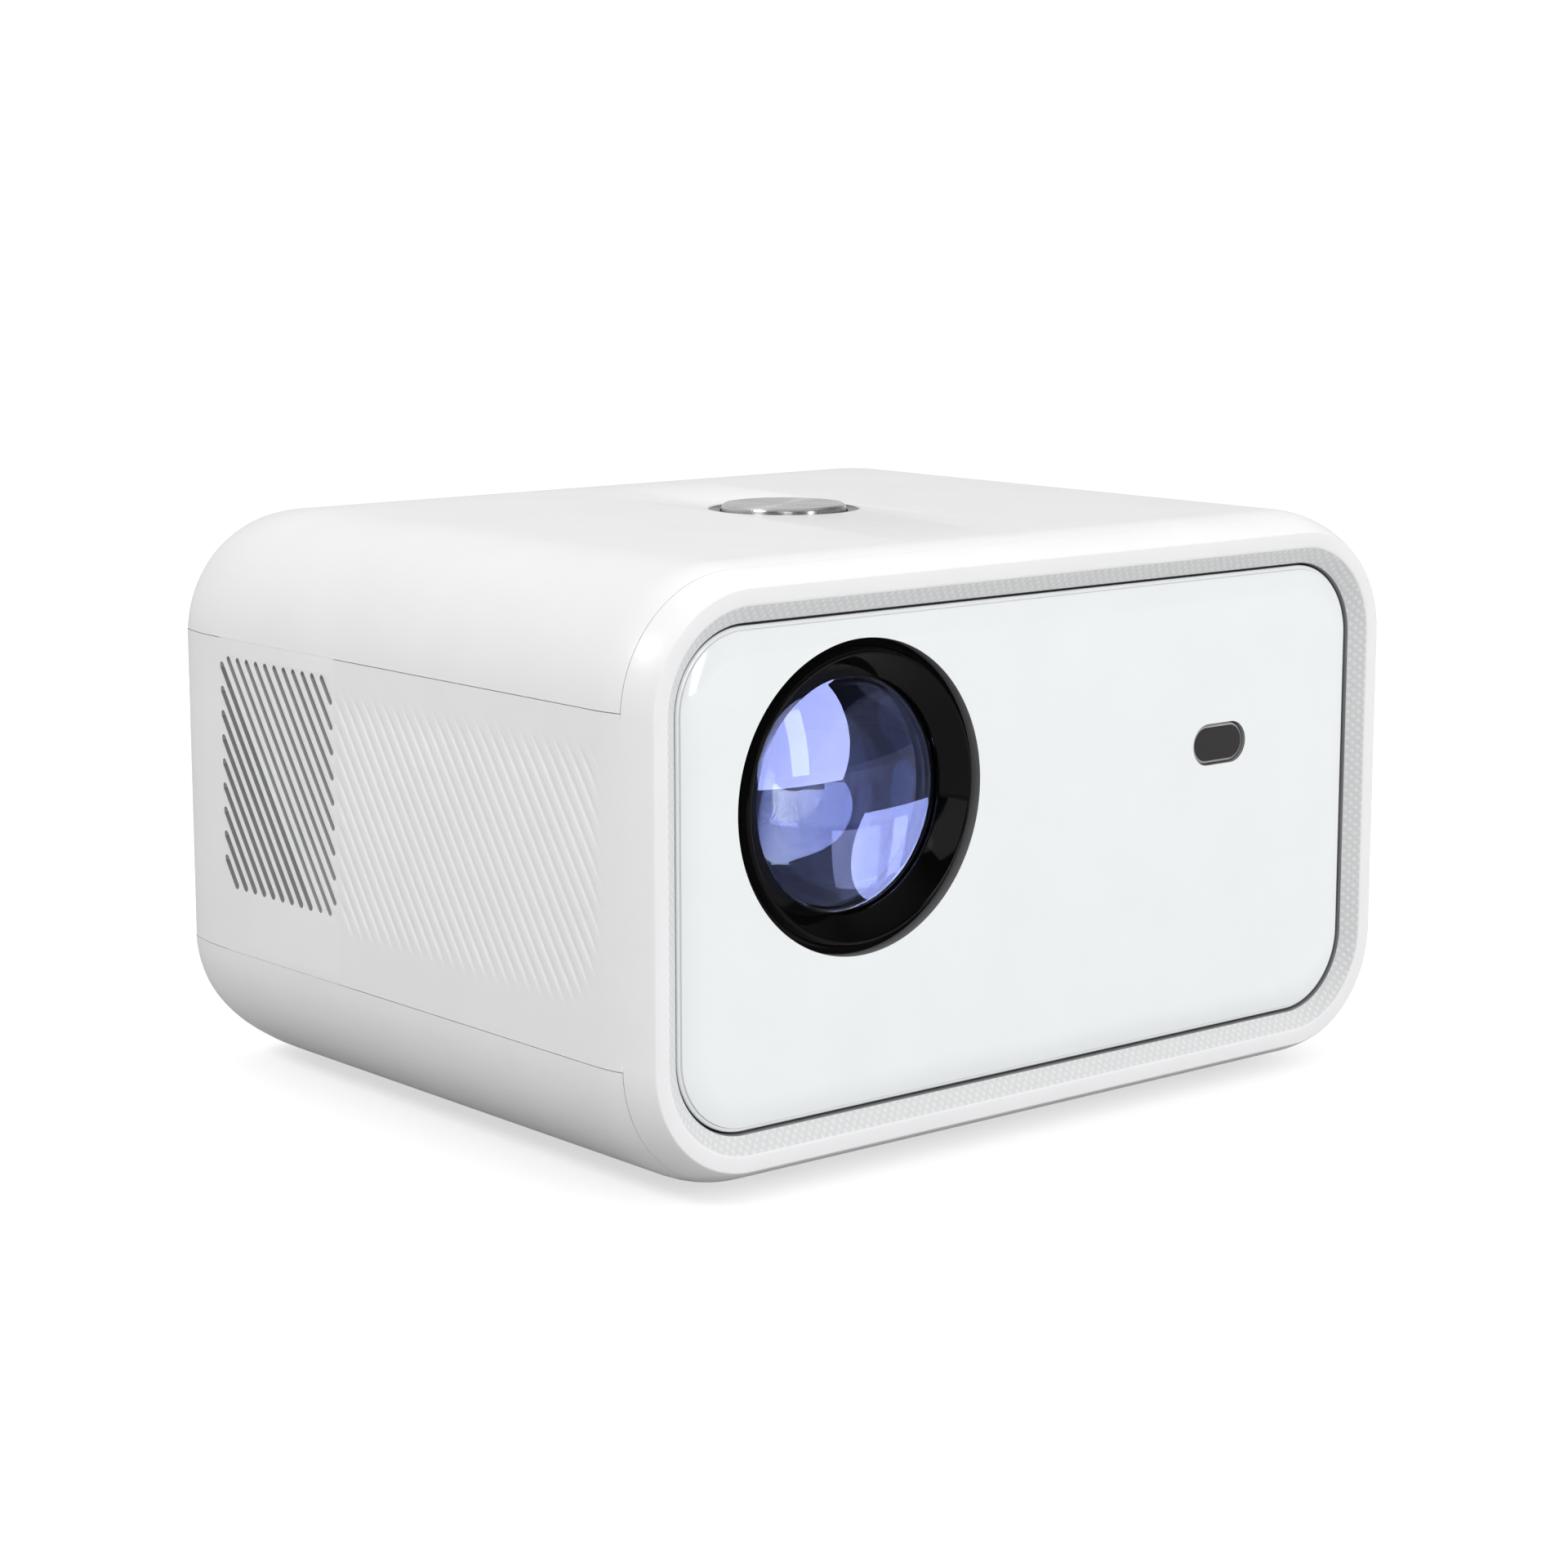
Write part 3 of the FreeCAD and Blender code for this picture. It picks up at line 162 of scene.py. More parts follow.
def rounded(points, radius, steps=4, closed=True):
    """Polyline with each corner rounded off by up to the given radius."""
    result = []
    count = len(points)
    for i, corner in enumerate(points):
        if not closed and i in (0, count - 1):
            result.append(corner)
            continue
        here = Vector(corner)
        before = Vector(points[i - 1]) - here
        after = Vector(points[(i + 1) % count]) - here
        if before.length < 1e-6 or after.length < 1e-6 or before.angle(after) > math.radians(165):
            result.append(corner)
            continue
        reach = min(radius, before.length * 0.45, after.length * 0.45)
        start = here + before.normalized() * reach
        end = here + after.normalized() * reach
        for k in range(steps + 1):
            t = k / steps
            result.append(tuple(start * (1 - t) ** 2 + here * (2 * t * (1 - t)) + end * t ** 2))
    return result


def strip_faces(rows, columns, wrap_rows=False, wrap_columns=False):
    """Quads of a grid whose point index is row * columns + column."""
    faces = []
    for r in range(rows if wrap_rows else rows - 1):
        for c in range(columns if wrap_columns else columns - 1):
            r2 = (r + 1) % rows
            c2 = (c + 1) % columns
            faces.append((r * columns + c, r * columns + c2, r2 * columns + c2, r2 * columns + c))
    return faces


def lathe(profile, place, segments=128, closed=True):
    """Points and faces of a profile turned about an axis; place(radius, along, angle) sets a point."""
    points = []
    for radius, along in profile:
        for k in range(segments):
            points.append(place(max(radius, 0.0), along, 2 * math.pi * k / segments))
    return points, strip_faces(len(profile), segments, closed, True)


def round_lens(radius, along, angle):
    """Point round the lens axis."""
    return (LENS.x + radius * math.cos(angle), along, LENS.z + radius * math.sin(angle))


def round_button(radius, along, angle):
    """Point round the button's axis."""
    return (BUTTON.x + radius * math.cos(angle), BUTTON.y + radius * math.sin(angle), along)


def spread(start, end, count):
    """Evenly spaced numbers from start to end, both included."""
    return [start + (end - start) * i / count for i in range(count + 1)]


# ---------------------------------------------------------------- case outline

def taper_inset(y):
    """How far the outer wall has drawn in at distance y behind the rim plane."""
    if y < TAPER_LENGTH:
        arc_r = (TAPER_LENGTH ** 2 + RIM_INSET ** 2) / (2 * RIM_INSET)
        return arc_r - math.sqrt(arc_r ** 2 - (TAPER_LENGTH - y) ** 2)
    rear_start = DEPTH - REAR_LENGTH
    if y > rear_start:
        reach = min((y - rear_start) / REAR_LENGTH, 1.0)
        return REAR_INSET * (1 - math.sqrt(1 - reach ** 2))
    return 0.0


def outline_loop(corner_steps=28, side_steps=4):
    """Stations round the whole case outline, as (centre x, centre z, outward x, outward z)."""
    stations = []
    corners = [(ARC_X, ARC_HIGH), (-ARC_X, ARC_HIGH), (-ARC_X, ARC_LOW), (ARC_X, ARC_LOW)]
    for index, (cx, cz) in enumerate(corners):
        for degrees in spread(90 * index, 90 * index + 90, corner_steps):
            a = math.radians(degrees)
            stations.append((cx, cz, math.cos(a), math.sin(a)))
        nx, nz = corners[(index + 1) % 4]
        a = math.radians(90 * index + 90)
        for share in spread(0, 1, side_steps)[1:-1]:
            stations.append((cx + (nx - cx) * share, cz + (nz - cz) * share, math.cos(a), math.sin(a)))
    return stations


def swept_round(profile):
    """Points and faces of a closed (inset, y) profile swept round the case outline."""
    stations = outline_loop()
    points = []
    for cx, cz, ox, oz in stations:
        for inset, y in profile:
            reach = CORNER_R - inset
            points.append((cx + ox * reach, y, cz + oz * reach))
    return points, strip_faces(len(stations), len(profile), True, True)


def cover_station(inset, share):
    """Point (x, z) over the top cover: share 0 is the right seam, 1 the left seam."""
    reach = CORNER_R - inset
    low = math.asin((TOP_SEAM + SEAM_GAP - ARC_HIGH) / reach)
    if share < 0.3:
        angle = low + (math.pi / 2 - low) * share / 0.3
        return ARC_X + reach * math.cos(angle), ARC_HIGH + reach * math.sin(angle)
    if share > 0.7:
        x, z = cover_station(inset, 1 - share)
        return -x, z
    return ARC_X * (0.5 - share) / 0.2, ARC_HIGH + reach


# ---------------------------------------------------------------- case pieces

def rear_profile():
    """(inset, y) points from the outer wall over the rear edge to the plate's ledge."""
    angles = [math.radians(a) for a in spread(0, 90, 24)]
    outer = [(REAR_INSET * (1 - math.cos(a)), DEPTH - REAR_LENGTH * (1 - math.sin(a))) for a in angles]
    inner = rounded([outer[-1], (SEAT_INSET, DEPTH), (SEAT_INSET, SEAT_Y), (LEDGE_INSET, SEAT_Y),
                     (LEDGE_INSET, LEDGE_Y)], 0.35, closed=False)
    return outer + inner[1:]


def top_cover():
    """Top shell, with its button hole cut by a round cutter."""
    start = COVER_START + SEAM_GAP
    front = [(taper_inset(start) + WALL, start), (taper_inset(start), start)]
    taper = [(taper_inset(y), y) for y in spread(start + 0.12, TAPER_LENGTH, 20)]
    profile = rounded(front + taper[:1], 0.12, closed=False)[:-1] + taper + rear_profile()
    profile += [(3.4, LEDGE_Y), (WALL, DEPTH - REAR_LENGTH), (WALL, TAPER_LENGTH)]
    shares = spread(0, 0.3, 30) + spread(0.3, 0.7, 12)[1:] + spread(0.7, 1.0, 30)[1:]
    points = []
    for share in shares:
        for inset, y in profile:
            x, z = cover_station(inset, share)
            points.append((x, y, z))
    count = len(profile)
    faces = strip_faces(len(shares), count, False, True)
    faces.append(tuple(range(count)))
    faces.append(tuple(range((len(shares) - 1) * count, len(shares) * count)))
    cover = make_piece("shell_top", points, faces, "white_case", node="top_cover")
    cut_through(cover, [button_cutter()])
    return cover


def button_cutter():
    """Round cutter for the button hole, flared at the rim so that the edge is eased."""
    profile = [(0.0, 110.0), (BUTTON_HOLE_R, 110.0), (BUTTON_HOLE_R, HEIGHT - 0.3),
               (BUTTON_HOLE_R + 0.12, HEIGHT - 0.1), (BUTTON_HOLE_R + 0.4, HEIGHT + 0.05),
               (BUTTON_HOLE_R + 0.4, HEIGHT + 3), (0.0, HEIGHT + 3)]
    return lathe(profile, round_button, 160, closed=False)


def cut_through(obj, cutters):
    """Cut shapes out of a piece and keep the result as its mesh."""
    for points, faces in cutters:
        mesh = bpy.data.meshes.new("cutter")
        mesh.from_pydata([in_frame(*p) for p in points], [], faces)
        tidy_mesh(mesh, 30)
        tool = bpy.data.objects.new("cutter", mesh)
        bpy.context.scene.collection.objects.link(tool)
        change = obj.modifiers.new("cut", "BOOLEAN")
        change.operation = "DIFFERENCE"
        change.solver = "EXACT"
        change.object = tool
        bpy.context.view_layer.update()
        result = bpy.data.meshes.new_from_object(obj.evaluated_get(bpy.context.evaluated_depsgraph_get()))
        obj.modifiers.clear()
        obj.data = result
        bpy.data.objects.remove(tool)
    obj.data.set_sharp_from_angle(angle=math.radians(32))


def front_rim():
    """Front rim of the case: outer taper, flat band and inner slope, with eased edges."""
    outer = [(taper_inset(y), y) for y in spread(COVER_START, 0.5, 14)]
    inner = rounded([outer[-1], (RIM_INSET, 0.0), (BAND_INSET, 0.0), (SLOPE_INSET, SLOPE_DEPTH),
                     (SLOPE_INSET, RIM_DEPTH), (6.0, RIM_DEPTH), (6.0, COVER_START)],
                    0.45, closed=False)
    points, faces = swept_round(outer + inner[1:])
    rim = make_piece("frame_rim", points, faces, "white_case", node="front_frame")
    # the slope's colour is darker than the case as painted shade; gap_shade paints shade on the rim's inner
    # wall
    rim.data.materials.append(MATERIALS["rim_slope_grain_and_shade"])
    rim.data.materials.append(MATERIALS["gap_shade"])
    for face in rim.data.polygons:
        middle = in_case(face.center)
        inset = inset_at(middle.x, middle.z)
        if inset > SLOPE_INSET - 0.3 and middle.y > SLOPE_DEPTH - 0.1:
            face.material_index = 2
        elif inset > BAND_INSET + 0.1 and middle.y < SLOPE_DEPTH + 0.2:
            face.material_index = 1
    return rim


def inset_at(x, z):
    """How far inside the case outline a point (x, z) lies."""
    over_x = abs(x) - ARC_X
    over_z = max(z - ARC_HIGH, ARC_LOW - z)
    if over_x > 0 and over_z > 0:
        return CORNER_R - math.hypot(over_x, over_z)
    return min(HALF_W - abs(x), HEIGHT - z, z)


def fade(value, start, end):
    """Smooth step from 0 at start to 1 at end."""
    t = min(max((value - start) / (end - start), 0.0), 1.0)
    return t * t * (3 - 2 * t)


def flute_height(line_y, y, z):
    """Height of the side wall's slanted flutes; line_y is y carried down the slope to z 0."""
    phase = ((line_y - FLUTE_PHASE_Y) / SLOT_PITCH) % 1.0
    shape = fade(phase, 0.0, 0.16) - 1.0 if phase < 0.5 else -fade(phase, 0.5, 1.0)
    corner = math.hypot(max(26.0 - y, 0) / 16.0, max(56.0 - z, 0) / 20.0)
    edge = fade(y, 9.5, 15.0) * (1 - fade(y, 99.0, 100.5)) * fade(z, 35.0, 41.0)
    edge *= (1 - fade(z, 82.0, 89.0)) * (1 - fade(corner, 0.72, 1.05))
    return FLUTE_DEPTH * edge * shape


FLUTE_STEPS = (0.0, 0.04, 0.08, 0.12, 0.16, 0.33, 0.5, 0.6, 0.7, 0.8, 0.88, 0.95)


def fluted_zone(side, rows):
    """Slanted grid over the fluted part of a side wall, trimmed at its front and back edges."""
    y0, y1 = FLUTE_START_Y, PLATE_Y[0]
    first = math.floor((y0 - rows[-1] / SLOT_SLOPE - FLUTE_PHASE_Y) / SLOT_PITCH)
    last = math.ceil((y1 - FLUTE_PHASE_Y) / SLOT_PITCH)
    lines = [FLUTE_PHASE_Y + (k + s) * SLOT_PITCH for k in range(first, last + 1) for s in FLUTE_STEPS]
    points, faces, index = [], [], {}

    def vertex(row, key):
        if (row, key) not in index:
            z = rows[row]
            y = {"start": y0, "end": y1}.get(key)
            if y is None:
                y = lines[key] + z / SLOT_SLOPE
            x = HALF_W - taper_inset(y) + flute_height(y - z / SLOT_SLOPE, y, z)
            index[(row, key)] = len(points)
            points.append((side * x, y, z))
        return index[(row, key)]

    for row in range(len(rows) - 1):
        kept = [[k for k, line in enumerate(lines) if y0 + 0.02 < line + rows[r] / SLOT_SLOPE < y1 - 0.02]
                for r in (row, row + 1)]
        shared = sorted(set(kept[0]) & set(kept[1]))
        for a, b in zip(shared, shared[1:]):
            faces.append((vertex(row, a), vertex(row, b), vertex(row + 1, b), vertex(row + 1, a)))
        low_ends = [[k for k in kept[r] if k <= shared[0]] for r in (0, 1)]
        high_ends = [[k for k in kept[r] if k >= shared[-1]] for r in (0, 1)]
        faces.append(tuple([vertex(row, "start")] + [vertex(row, k) for k in low_ends[0]]
                           + [vertex(row + 1, k) for k in low_ends[1][::-1]] + [vertex(row + 1, "start")]))
        faces.append(tuple([vertex(row, k) for k in high_ends[0]] + [vertex(row, "end")]
                           + [vertex(row + 1, "end")] + [vertex(row + 1, k) for k in high_ends[1][::-1]]))
    return points, faces


def slot_outline(index, grow):
    """Outline (y, z) of one grille slot, a slanted line with round ends, grown on all sides."""
    end_r = SLOT_WIDTH / 2 + grow
    top_y = SLOT_FIRST_Y + SLOT_PITCH * index
    low_y = max(top_y - (GRILLE_Z[1] - GRILLE_Z[0]) / SLOT_SLOPE, GRILLE_Y[0])
    high_y = min(top_y, GRILLE_Y[1])
    ends = [(y, GRILLE_Z[1] - (top_y - y) * SLOT_SLOPE) for y in (high_y, low_y)]
    tilt = math.atan(SLOT_SLOPE)
    outline = []
    for (y, z), first in zip(ends, (-90, 90)):
        for degrees in spread(first, first + 180, 8):
            a = tilt + math.radians(degrees)
            outline.append((y + end_r * math.cos(a), z + end_r * math.sin(a)))
    return outline


def grille_plate(side, rows):
    """Flat part of a side wall with the slanted air slots, whose edges are eased."""
    ease = 0.12
    curve = bpy.data.curves.new("grille", "CURVE")
    curve.dimensions = "2D"
    curve.fill_mode = "BOTH"
    curve.extrude = (WALL / 2 - ease) * MM
    curve.bevel_depth = ease * MM
    curve.bevel_resolution = 2
    border = [(PLATE_Y[0], z) for z in rows] + [(PLATE_Y[1], z) for z in rows[::-1]]
    for outline in [border] + [slot_outline(i, ease) for i in range(SLOT_COUNT)]:
        spline = curve.splines.new("POLY")
        spline.points.add(len(outline) - 1)
        for point, (y, z) in zip(spline.points, outline):
            point.co = (y * MM, z * MM, 0, 1)
        spline.use_cyclic_u = True
    holder = bpy.data.objects.new("grille", curve)
    bpy.context.scene.collection.objects.link(holder)
    bpy.context.view_layer.update()
    mesh = bpy.data.meshes.new_from_object(holder.evaluated_get(bpy.context.evaluated_depsgraph_get()))
    bpy.data.objects.remove(holder)
    middle = HALF_W - WALL / 2
    points = [(side * (middle + v.co.z / MM), v.co.x / MM, v.co.y / MM) for v in mesh.vertices]
    faces = [tuple(p.vertices) for p in mesh.polygons]
    bpy.data.meshes.remove(mesh)
    return points, faces


def straight_zone(side, rows, profile):
    """Part of a side wall with upright rows, from an (inset, y) profile."""
    points = [(side * (HALF_W - inset), y, z) for z in rows for inset, y in profile]
    return points, strip_faces(len(rows), len(profile))


def merged(parts):
    """Several lots of points and faces as one."""
    points, faces = [], []
    for more_points, more_faces in parts:
        base = len(points)
        points += more_points
        faces += [tuple(base + i for i in face) for face in more_faces]
    return points, faces


def side_wall(side, name):
    """One side wall: front taper, flutes, grille and rear edge."""
    rows = spread(BOTTOM_SEAM, TOP_SEAM, 44)
    front = [(taper_inset(y), y) for y in spread(COVER_START, FLUTE_START_Y, 14)]
    rear = [p for p in rear_profile() if p[1] > PLATE_Y[1] or p[0] > REAR_INSET]
    rear = [(0.0, PLATE_Y[1])] + rear
    lips = []
    for z in (rows[0], rows[-1]):
        outer = [(taper_inset(y), y) for y in spread(COVER_START, DEPTH - 0.3, 60)]
        lip_points = [(side * (HALF_W - inset - d), y, z) for inset, y in outer for d in (0, WALL)]
        lips.append((lip_points, strip_faces(len(outer), 2)))
    points, faces = merged([
        straight_zone(side, rows, front), fluted_zone(side, rows), grille_plate(side, rows),
        straight_zone(side, rows, rear),
    ] + lips)
    wall = make_piece(name, points, faces, "white_case", node="front_frame", sharp=24)
    wall.data.materials.append(MATERIALS["slot_shade"])
    for face in wall.data.polygons:
        middle = in_case(face.center)
        if abs(face.normal.x) < 0.35 and PLATE_Y[0] + 0.3 < middle.y < PLATE_Y[1] - 0.3:
            if GRILLE_Z[0] - 2 < middle.z < GRILLE_Z[1] + 2:
                face.material_index = 1
    return wall


def panel_fall(inset):
    """Depth y of the panel's face at an inset: flat, then falling softly to the edge."""
    share = min(max((inset - PANEL_INSET) / PANEL_PILLOW, 0.0), 1.0)
    return PANEL_FACE_Y + (PANEL_EDGE_Y - PANEL_FACE_Y) * (1 - share) ** 2


def pill_outline(width, height, steps=20):
    """Outline (x, z) of a pill shape round its middle."""
    reach = (width - height) / 2
    outline = []
    for side, first in ((1, -90), (-1, 90)):
        for degrees in spread(first, first + 180, steps):
            a = math.radians(degrees)
            outline.append((side * reach + height / 2 * math.cos(a), height / 2 * math.sin(a)))
    return outline


def pill_cutter(width, height, y0, y1):
    """Pill-shaped cutter along y at the window."""
    outline = pill_outline(width, height)
    count = len(outline)
    points = [(WINDOW.x + x, y, WINDOW.z + z) for y in (y0, y1) for x, z in outline]
    faces = strip_faces(2, count, False, True)
    faces += [tuple(range(count)), tuple(range(count, 2 * count))]
    return points, faces


def front_panel():
    """Glossy front panel, a shallow pillow with the lens and window holes."""
    insets = [PANEL_INSET + PANEL_PILLOW * (i / 22) ** 1.3 for i in range(23)]
    inner = PANEL_INSET + PANEL_PILLOW
    face = [(inset, panel_fall(inset)) for inset in insets]
    fall = [(PANEL_INSET + 0.9 * (1 - math.cos(a)), PANEL_EDGE_Y + 0.55 - 0.55 * math.sin(a))
            for a in (math.radians(d) for d in spread(0, 80, 8))]
    face = fall + [p for p in face if p[0] > PANEL_INSET + 0.85]
    profile = [(inner, PANEL_BACK_Y), (PANEL_INSET, PANEL_BACK_Y)] + face
    points, faces = swept_round(profile)
    stations = len(points) // len(profile)
    cap_front = tuple(i * len(profile) + len(profile) - 1 for i in range(stations))
    cap_back = tuple(i * len(profile) for i in range(stations))
    faces = [f for f in faces if not (set(f) <= set(cap_front) | set(cap_back))]
    faces += [cap_front, cap_back]
    panel = make_piece("front_panel_face", points, faces, "white_panel", node="front_panel")
    hole = lathe([(0.0, -2.0), (LENS_HOLE_R, -2.0), (LENS_HOLE_R, 8.0), (0.0, 8.0)],
                 round_lens, 192, closed=False)
    cut_through(panel, [hole, pill_cutter(*WINDOW_SIZE, -2.0, 8.0)])
    mark_edges(panel)
    return panel


def mark_edges(panel):
    """Paint shade on the panel: grey painted shade on the walls of its two holes and darker painted shade
    on its outer edge.
    """
    panel.data.materials.append(MATERIALS["panel_hole_shade"])
    panel.data.materials.append(MATERIALS["gap_shade"])
    for face in panel.data.polygons:
        middle = in_case(face.center)
        from_lens = math.hypot(middle.x - LENS.x, middle.z - LENS.z)
        near_window = abs(middle.x - WINDOW.x) < 9 and abs(middle.z - WINDOW.z) < 6
        # painted shade: the walls of the lens and window holes get a grey colour for the shade inside them
        if abs(face.normal.y) < 0.2 and (abs(from_lens - LENS_HOLE_R) < 0.5 or near_window):
            face.material_index = 1
        # painted shade: the steep outer edge of the panel, beside the gap round it, is coloured dark
        elif abs(face.normal.y) < 0.6 and inset_at(middle.x, middle.z) < PANEL_INSET + 0.6:
            face.material_index = 2


# ---------------------------------------------------------------- lens and button

def trim_ring():
    """Glossy black ring: groove, raised lip and inner cone, with eased edges."""
    profile = rounded([(30.9, 3.8), (29.6, 3.6), (28.8, 1.7), (28.4, 1.4), (28.0, 1.5), (23.5, 5.3),
                       (23.5, 6.1), (27.5, 6.1), (27.5, 6.8), (30.9, 6.8)], 0.18, 3)
    points, faces = lathe(profile, round_lens, 192)
    return make_piece("lens_ring", points, faces, "black_gloss", node="lens_trim_ring", sharp=50)


def front_glass():
    """Front lens element: a smooth dome, a seat and a flat back."""
    dome_r, apex, rim = 23.05, 2.3, 6.9
    seat_r, back = 24.3, 10.4
    segments = 160
    sphere_r = (dome_r ** 2 + (rim - apex) ** 2) / (2 * (rim - apex))
    dome = [(r, apex + sphere_r - math.sqrt(sphere_r ** 2 - r ** 2)) for r in spread(0.05, dome_r, 40)]
    profile = dome + [(seat_r, rim), (seat_r, back), (0.05, back)]
    points, faces = lathe(profile, round_lens, segments)
    last = (len(profile) - 1) * segments
    faces.append(tuple(range(segments)))
    faces.append(tuple(range(last, last + segments)))
    faces = [f for f in faces if not (len(f) == 4 and min(f) < segments and max(f) >= last)]
    return make_piece("lens_front_glass", points, faces, "coated_glass", body="lens_group",
                      node="front_lens")


def window_glass():
    """Remote window: a pill of dark plastic whose bevelled edge is coloured pale grey as a painted
    highlight.
    """
    low, high = (in_case(corner).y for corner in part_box("remote_window"))
    width, height = WINDOW_SIZE
    profile = [(0.3, high), (0.3, low + 0.45), (0.55, low + 0.15), (0.85, low), (1.1, low)]
    points, rings = [], []
    for inset, y in profile:
        outline = pill_outline(width - 2 * inset, height - 2 * inset)
        rings.append(len(points))
        points += [(WINDOW.x + x, y, WINDOW.z + z) for x, z in outline]
    count = len(outline)
    faces = strip_faces(len(profile), count, False, True)
    faces += [tuple(range(count)), tuple(range(rings[-1], rings[-1] + count))]
    glass = make_piece("window_glass", points, faces, "window", node="remote_window")
    glass.data.materials.append(MATERIALS["window_bevel_highlight"])
    # painted highlight: the bevel faces get a pale grey colour in place of the light they would catch
    for face in glass.data.polygons:
        if 0.25 < abs(face.normal.y) < 0.93:
            face.material_index = 1
    return glass


def button_cap():
    """Spun metal cap: a dish, a polished edge and the stem below it."""
    dish = [(r, 120.85 + 0.15 * (r / 11.6) ** 2) for r in spread(0.04, 11.6, 48)]
    edge = rounded([dish[-1], (12.9, 121.0), (13.5, 120.4), (13.5, 113.6), (15.2, 113.6),
                    (15.2, 112.6), (0.04, 112.6)], 0.25, 4, closed=False)[1:]
    profile = dish + edge
    points, faces = lathe(profile, round_button, 160, closed=False)
    faces += [tuple(range(160)), tuple(range((len(profile) - 1) * 160, len(profile) * 160))]
    return make_piece("button_cap", points, faces, "button_metal", body="power_button",
                      node="power_button", sharp=40)


def button_collar():
    """Turned ring round the button, with an eased inner and outer edge."""
    profile = rounded([(13.9, 119.5), (15.6, 119.6), (16.2, 119.8), (16.2, 117.6), (19.0, 117.6),
                       (19.0, 115.6), (16.2, 115.6), (16.2, 114.0), (13.9, 114.0)], 0.12, 3)
    points, faces = lathe(profile, round_button, 160)
    return make_piece("button_collar", points, faces, "collar_metal", node="button_ring")


# ---------------------------------------------------------------- materials

class Nodes:
    """A material's node tree, with short ways to add and join nodes."""

    def __init__(self, name):
        self.name = name
        self.material = bpy.data.materials.new("finish_" + name)
        self.material.use_nodes = True
        self.tree = self.material.node_tree
        self.shader = next(n for n in self.tree.nodes if n.type == "BSDF_PRINCIPLED")
        self.coords = self.add("ShaderNodeTexCoord").outputs["Object"]

    def add(self, kind, **values):
        """New node with the given properties and input values."""
        node = self.tree.nodes.new(kind)
        for key, value in values.items():
            if key in node.inputs:
                node.inputs[key].default_value = value
            else:
                setattr(node, key, value)
        return node

    def link(self, out, into):
        self.tree.links.new(out, into)

    def stretched(self, scale, move=(0, 0, 0), turn=(0, 0, 0)):
        """Object coordinates, moved, turned and scaled."""
        node = self.add("ShaderNodeMapping", vector_type="POINT")
        node.inputs["Location"].default_value = move
        node.inputs["Rotation"].default_value = turn
        node.inputs["Scale"].default_value = scale
        self.link(self.coords, node.inputs["Vector"])
        return node.outputs["Vector"]

    def noise(self, scale, detail=3.0, vector=None):
        """Noise value at a scale in repeats per metre."""
        node = self.add("ShaderNodeTexNoise", Scale=scale, Detail=detail)
        self.link(vector or self.coords, node.inputs["Vector"])
        return node.outputs["Fac"]

    def ranged(self, value, low, high, start=0.3, end=0.7):
        """Value remapped from start..end to low..high."""
        node = self.add("ShaderNodeMapRange")
        self.link(value, node.inputs["Value"])
        node.inputs["From Min"].default_value = start
        node.inputs["From Max"].default_value = end
        node.inputs["To Min"].default_value = low
        node.inputs["To Max"].default_value = high
        return node.outputs["Result"]

    def mixed(self, value, first, second):
        """Colour between two, by a value."""
        node = self.add("ShaderNodeMix", data_type="RGBA")
        self.link(value, node.inputs[0])
        node.inputs[6].default_value = (*first, 1)
        node.inputs[7].default_value = (*second, 1)
        return node.outputs[2]

    def bump(self, height, strength, distance):
        """Bump from a height, in metres of depth."""
        node = self.add("ShaderNodeBump", Strength=strength, Distance=distance)
        self.link(height, node.inputs["Height"])
        self.link(node.outputs["Normal"], self.shader.inputs["Normal"])
        return node


def basic(name, colour, rough, metal=0.0, vary=0.04, rough_vary=0.05, grain=(1500.0, 0.25, 0.00003),
          patches=60.0, vector=None, **sockets):
    """Moulded or metal finish: gentle colour and gloss variation with a fine grain."""
    kit = Nodes(name)
    where = kit.stretched(vector) if vector else None
    low = tuple(c * (1 - vary) for c in colour)
    high = tuple(min(c * (1 + vary), 1.0) for c in colour)
    tone = kit.ranged(kit.noise(patches, 4.0, where), 0, 1)
    kit.link(kit.mixed(tone, low, high), kit.shader.inputs["Base Color"])
    smooth = max(rough - rough_vary, 0.01)
    gloss = kit.ranged(kit.noise(patches * 6, 5.0, where), smooth, rough + rough_vary)
    kit.link(gloss, kit.shader.inputs["Roughness"])
    kit.shader.inputs["Metallic"].default_value = metal
    scale, strength, distance = grain
    kit.bump(kit.noise(scale, 3.0, where), strength, distance)
    for key, value in sockets.items():
        kit.shader.inputs[key.replace("_", " ")].default_value = value
    return kit


def spun_metal(name, tone, rough):
    """Turned metal: fine rings of tool marks, with gloss that stretches across them."""
    kit = Nodes(name)
    centre = in_frame(BUTTON.x, BUTTON.y, BUTTON.z)
    moved = tuple(-c for c in centre)
    rings = kit.add("ShaderNodeTexWave", wave_type="RINGS", rings_direction="Z", Scale=900.0,
                    Distortion=0.4, Detail=2.0)
    kit.link(kit.stretched((1, 1, 1), moved), rings.inputs["Vector"])
    low, high = (tone * 0.9,) * 3, (tone,) * 3
    marks = kit.ranged(rings.outputs["Fac"], 0, 1, 0, 1)
    kit.link(kit.mixed(marks, low, high), kit.shader.inputs["Base Color"])
    kit.link(kit.ranged(kit.noise(300.0), rough - 0.03, rough + 0.03), kit.shader.inputs["Roughness"])
    kit.bump(rings.outputs["Fac"], 0.05, 0.000004)
    around = kit.add("ShaderNodeTangent", direction_type="RADIAL", axis="Z")
    kit.link(around.outputs["Tangent"], kit.shader.inputs["Tangent"])
    kit.shader.inputs["Metallic"].default_value = 1.0
    kit.shader.inputs["Anisotropic"].default_value = 0.85
    kit.shader.inputs["Anisotropic Rotation"].default_value = 0.25
    return kit


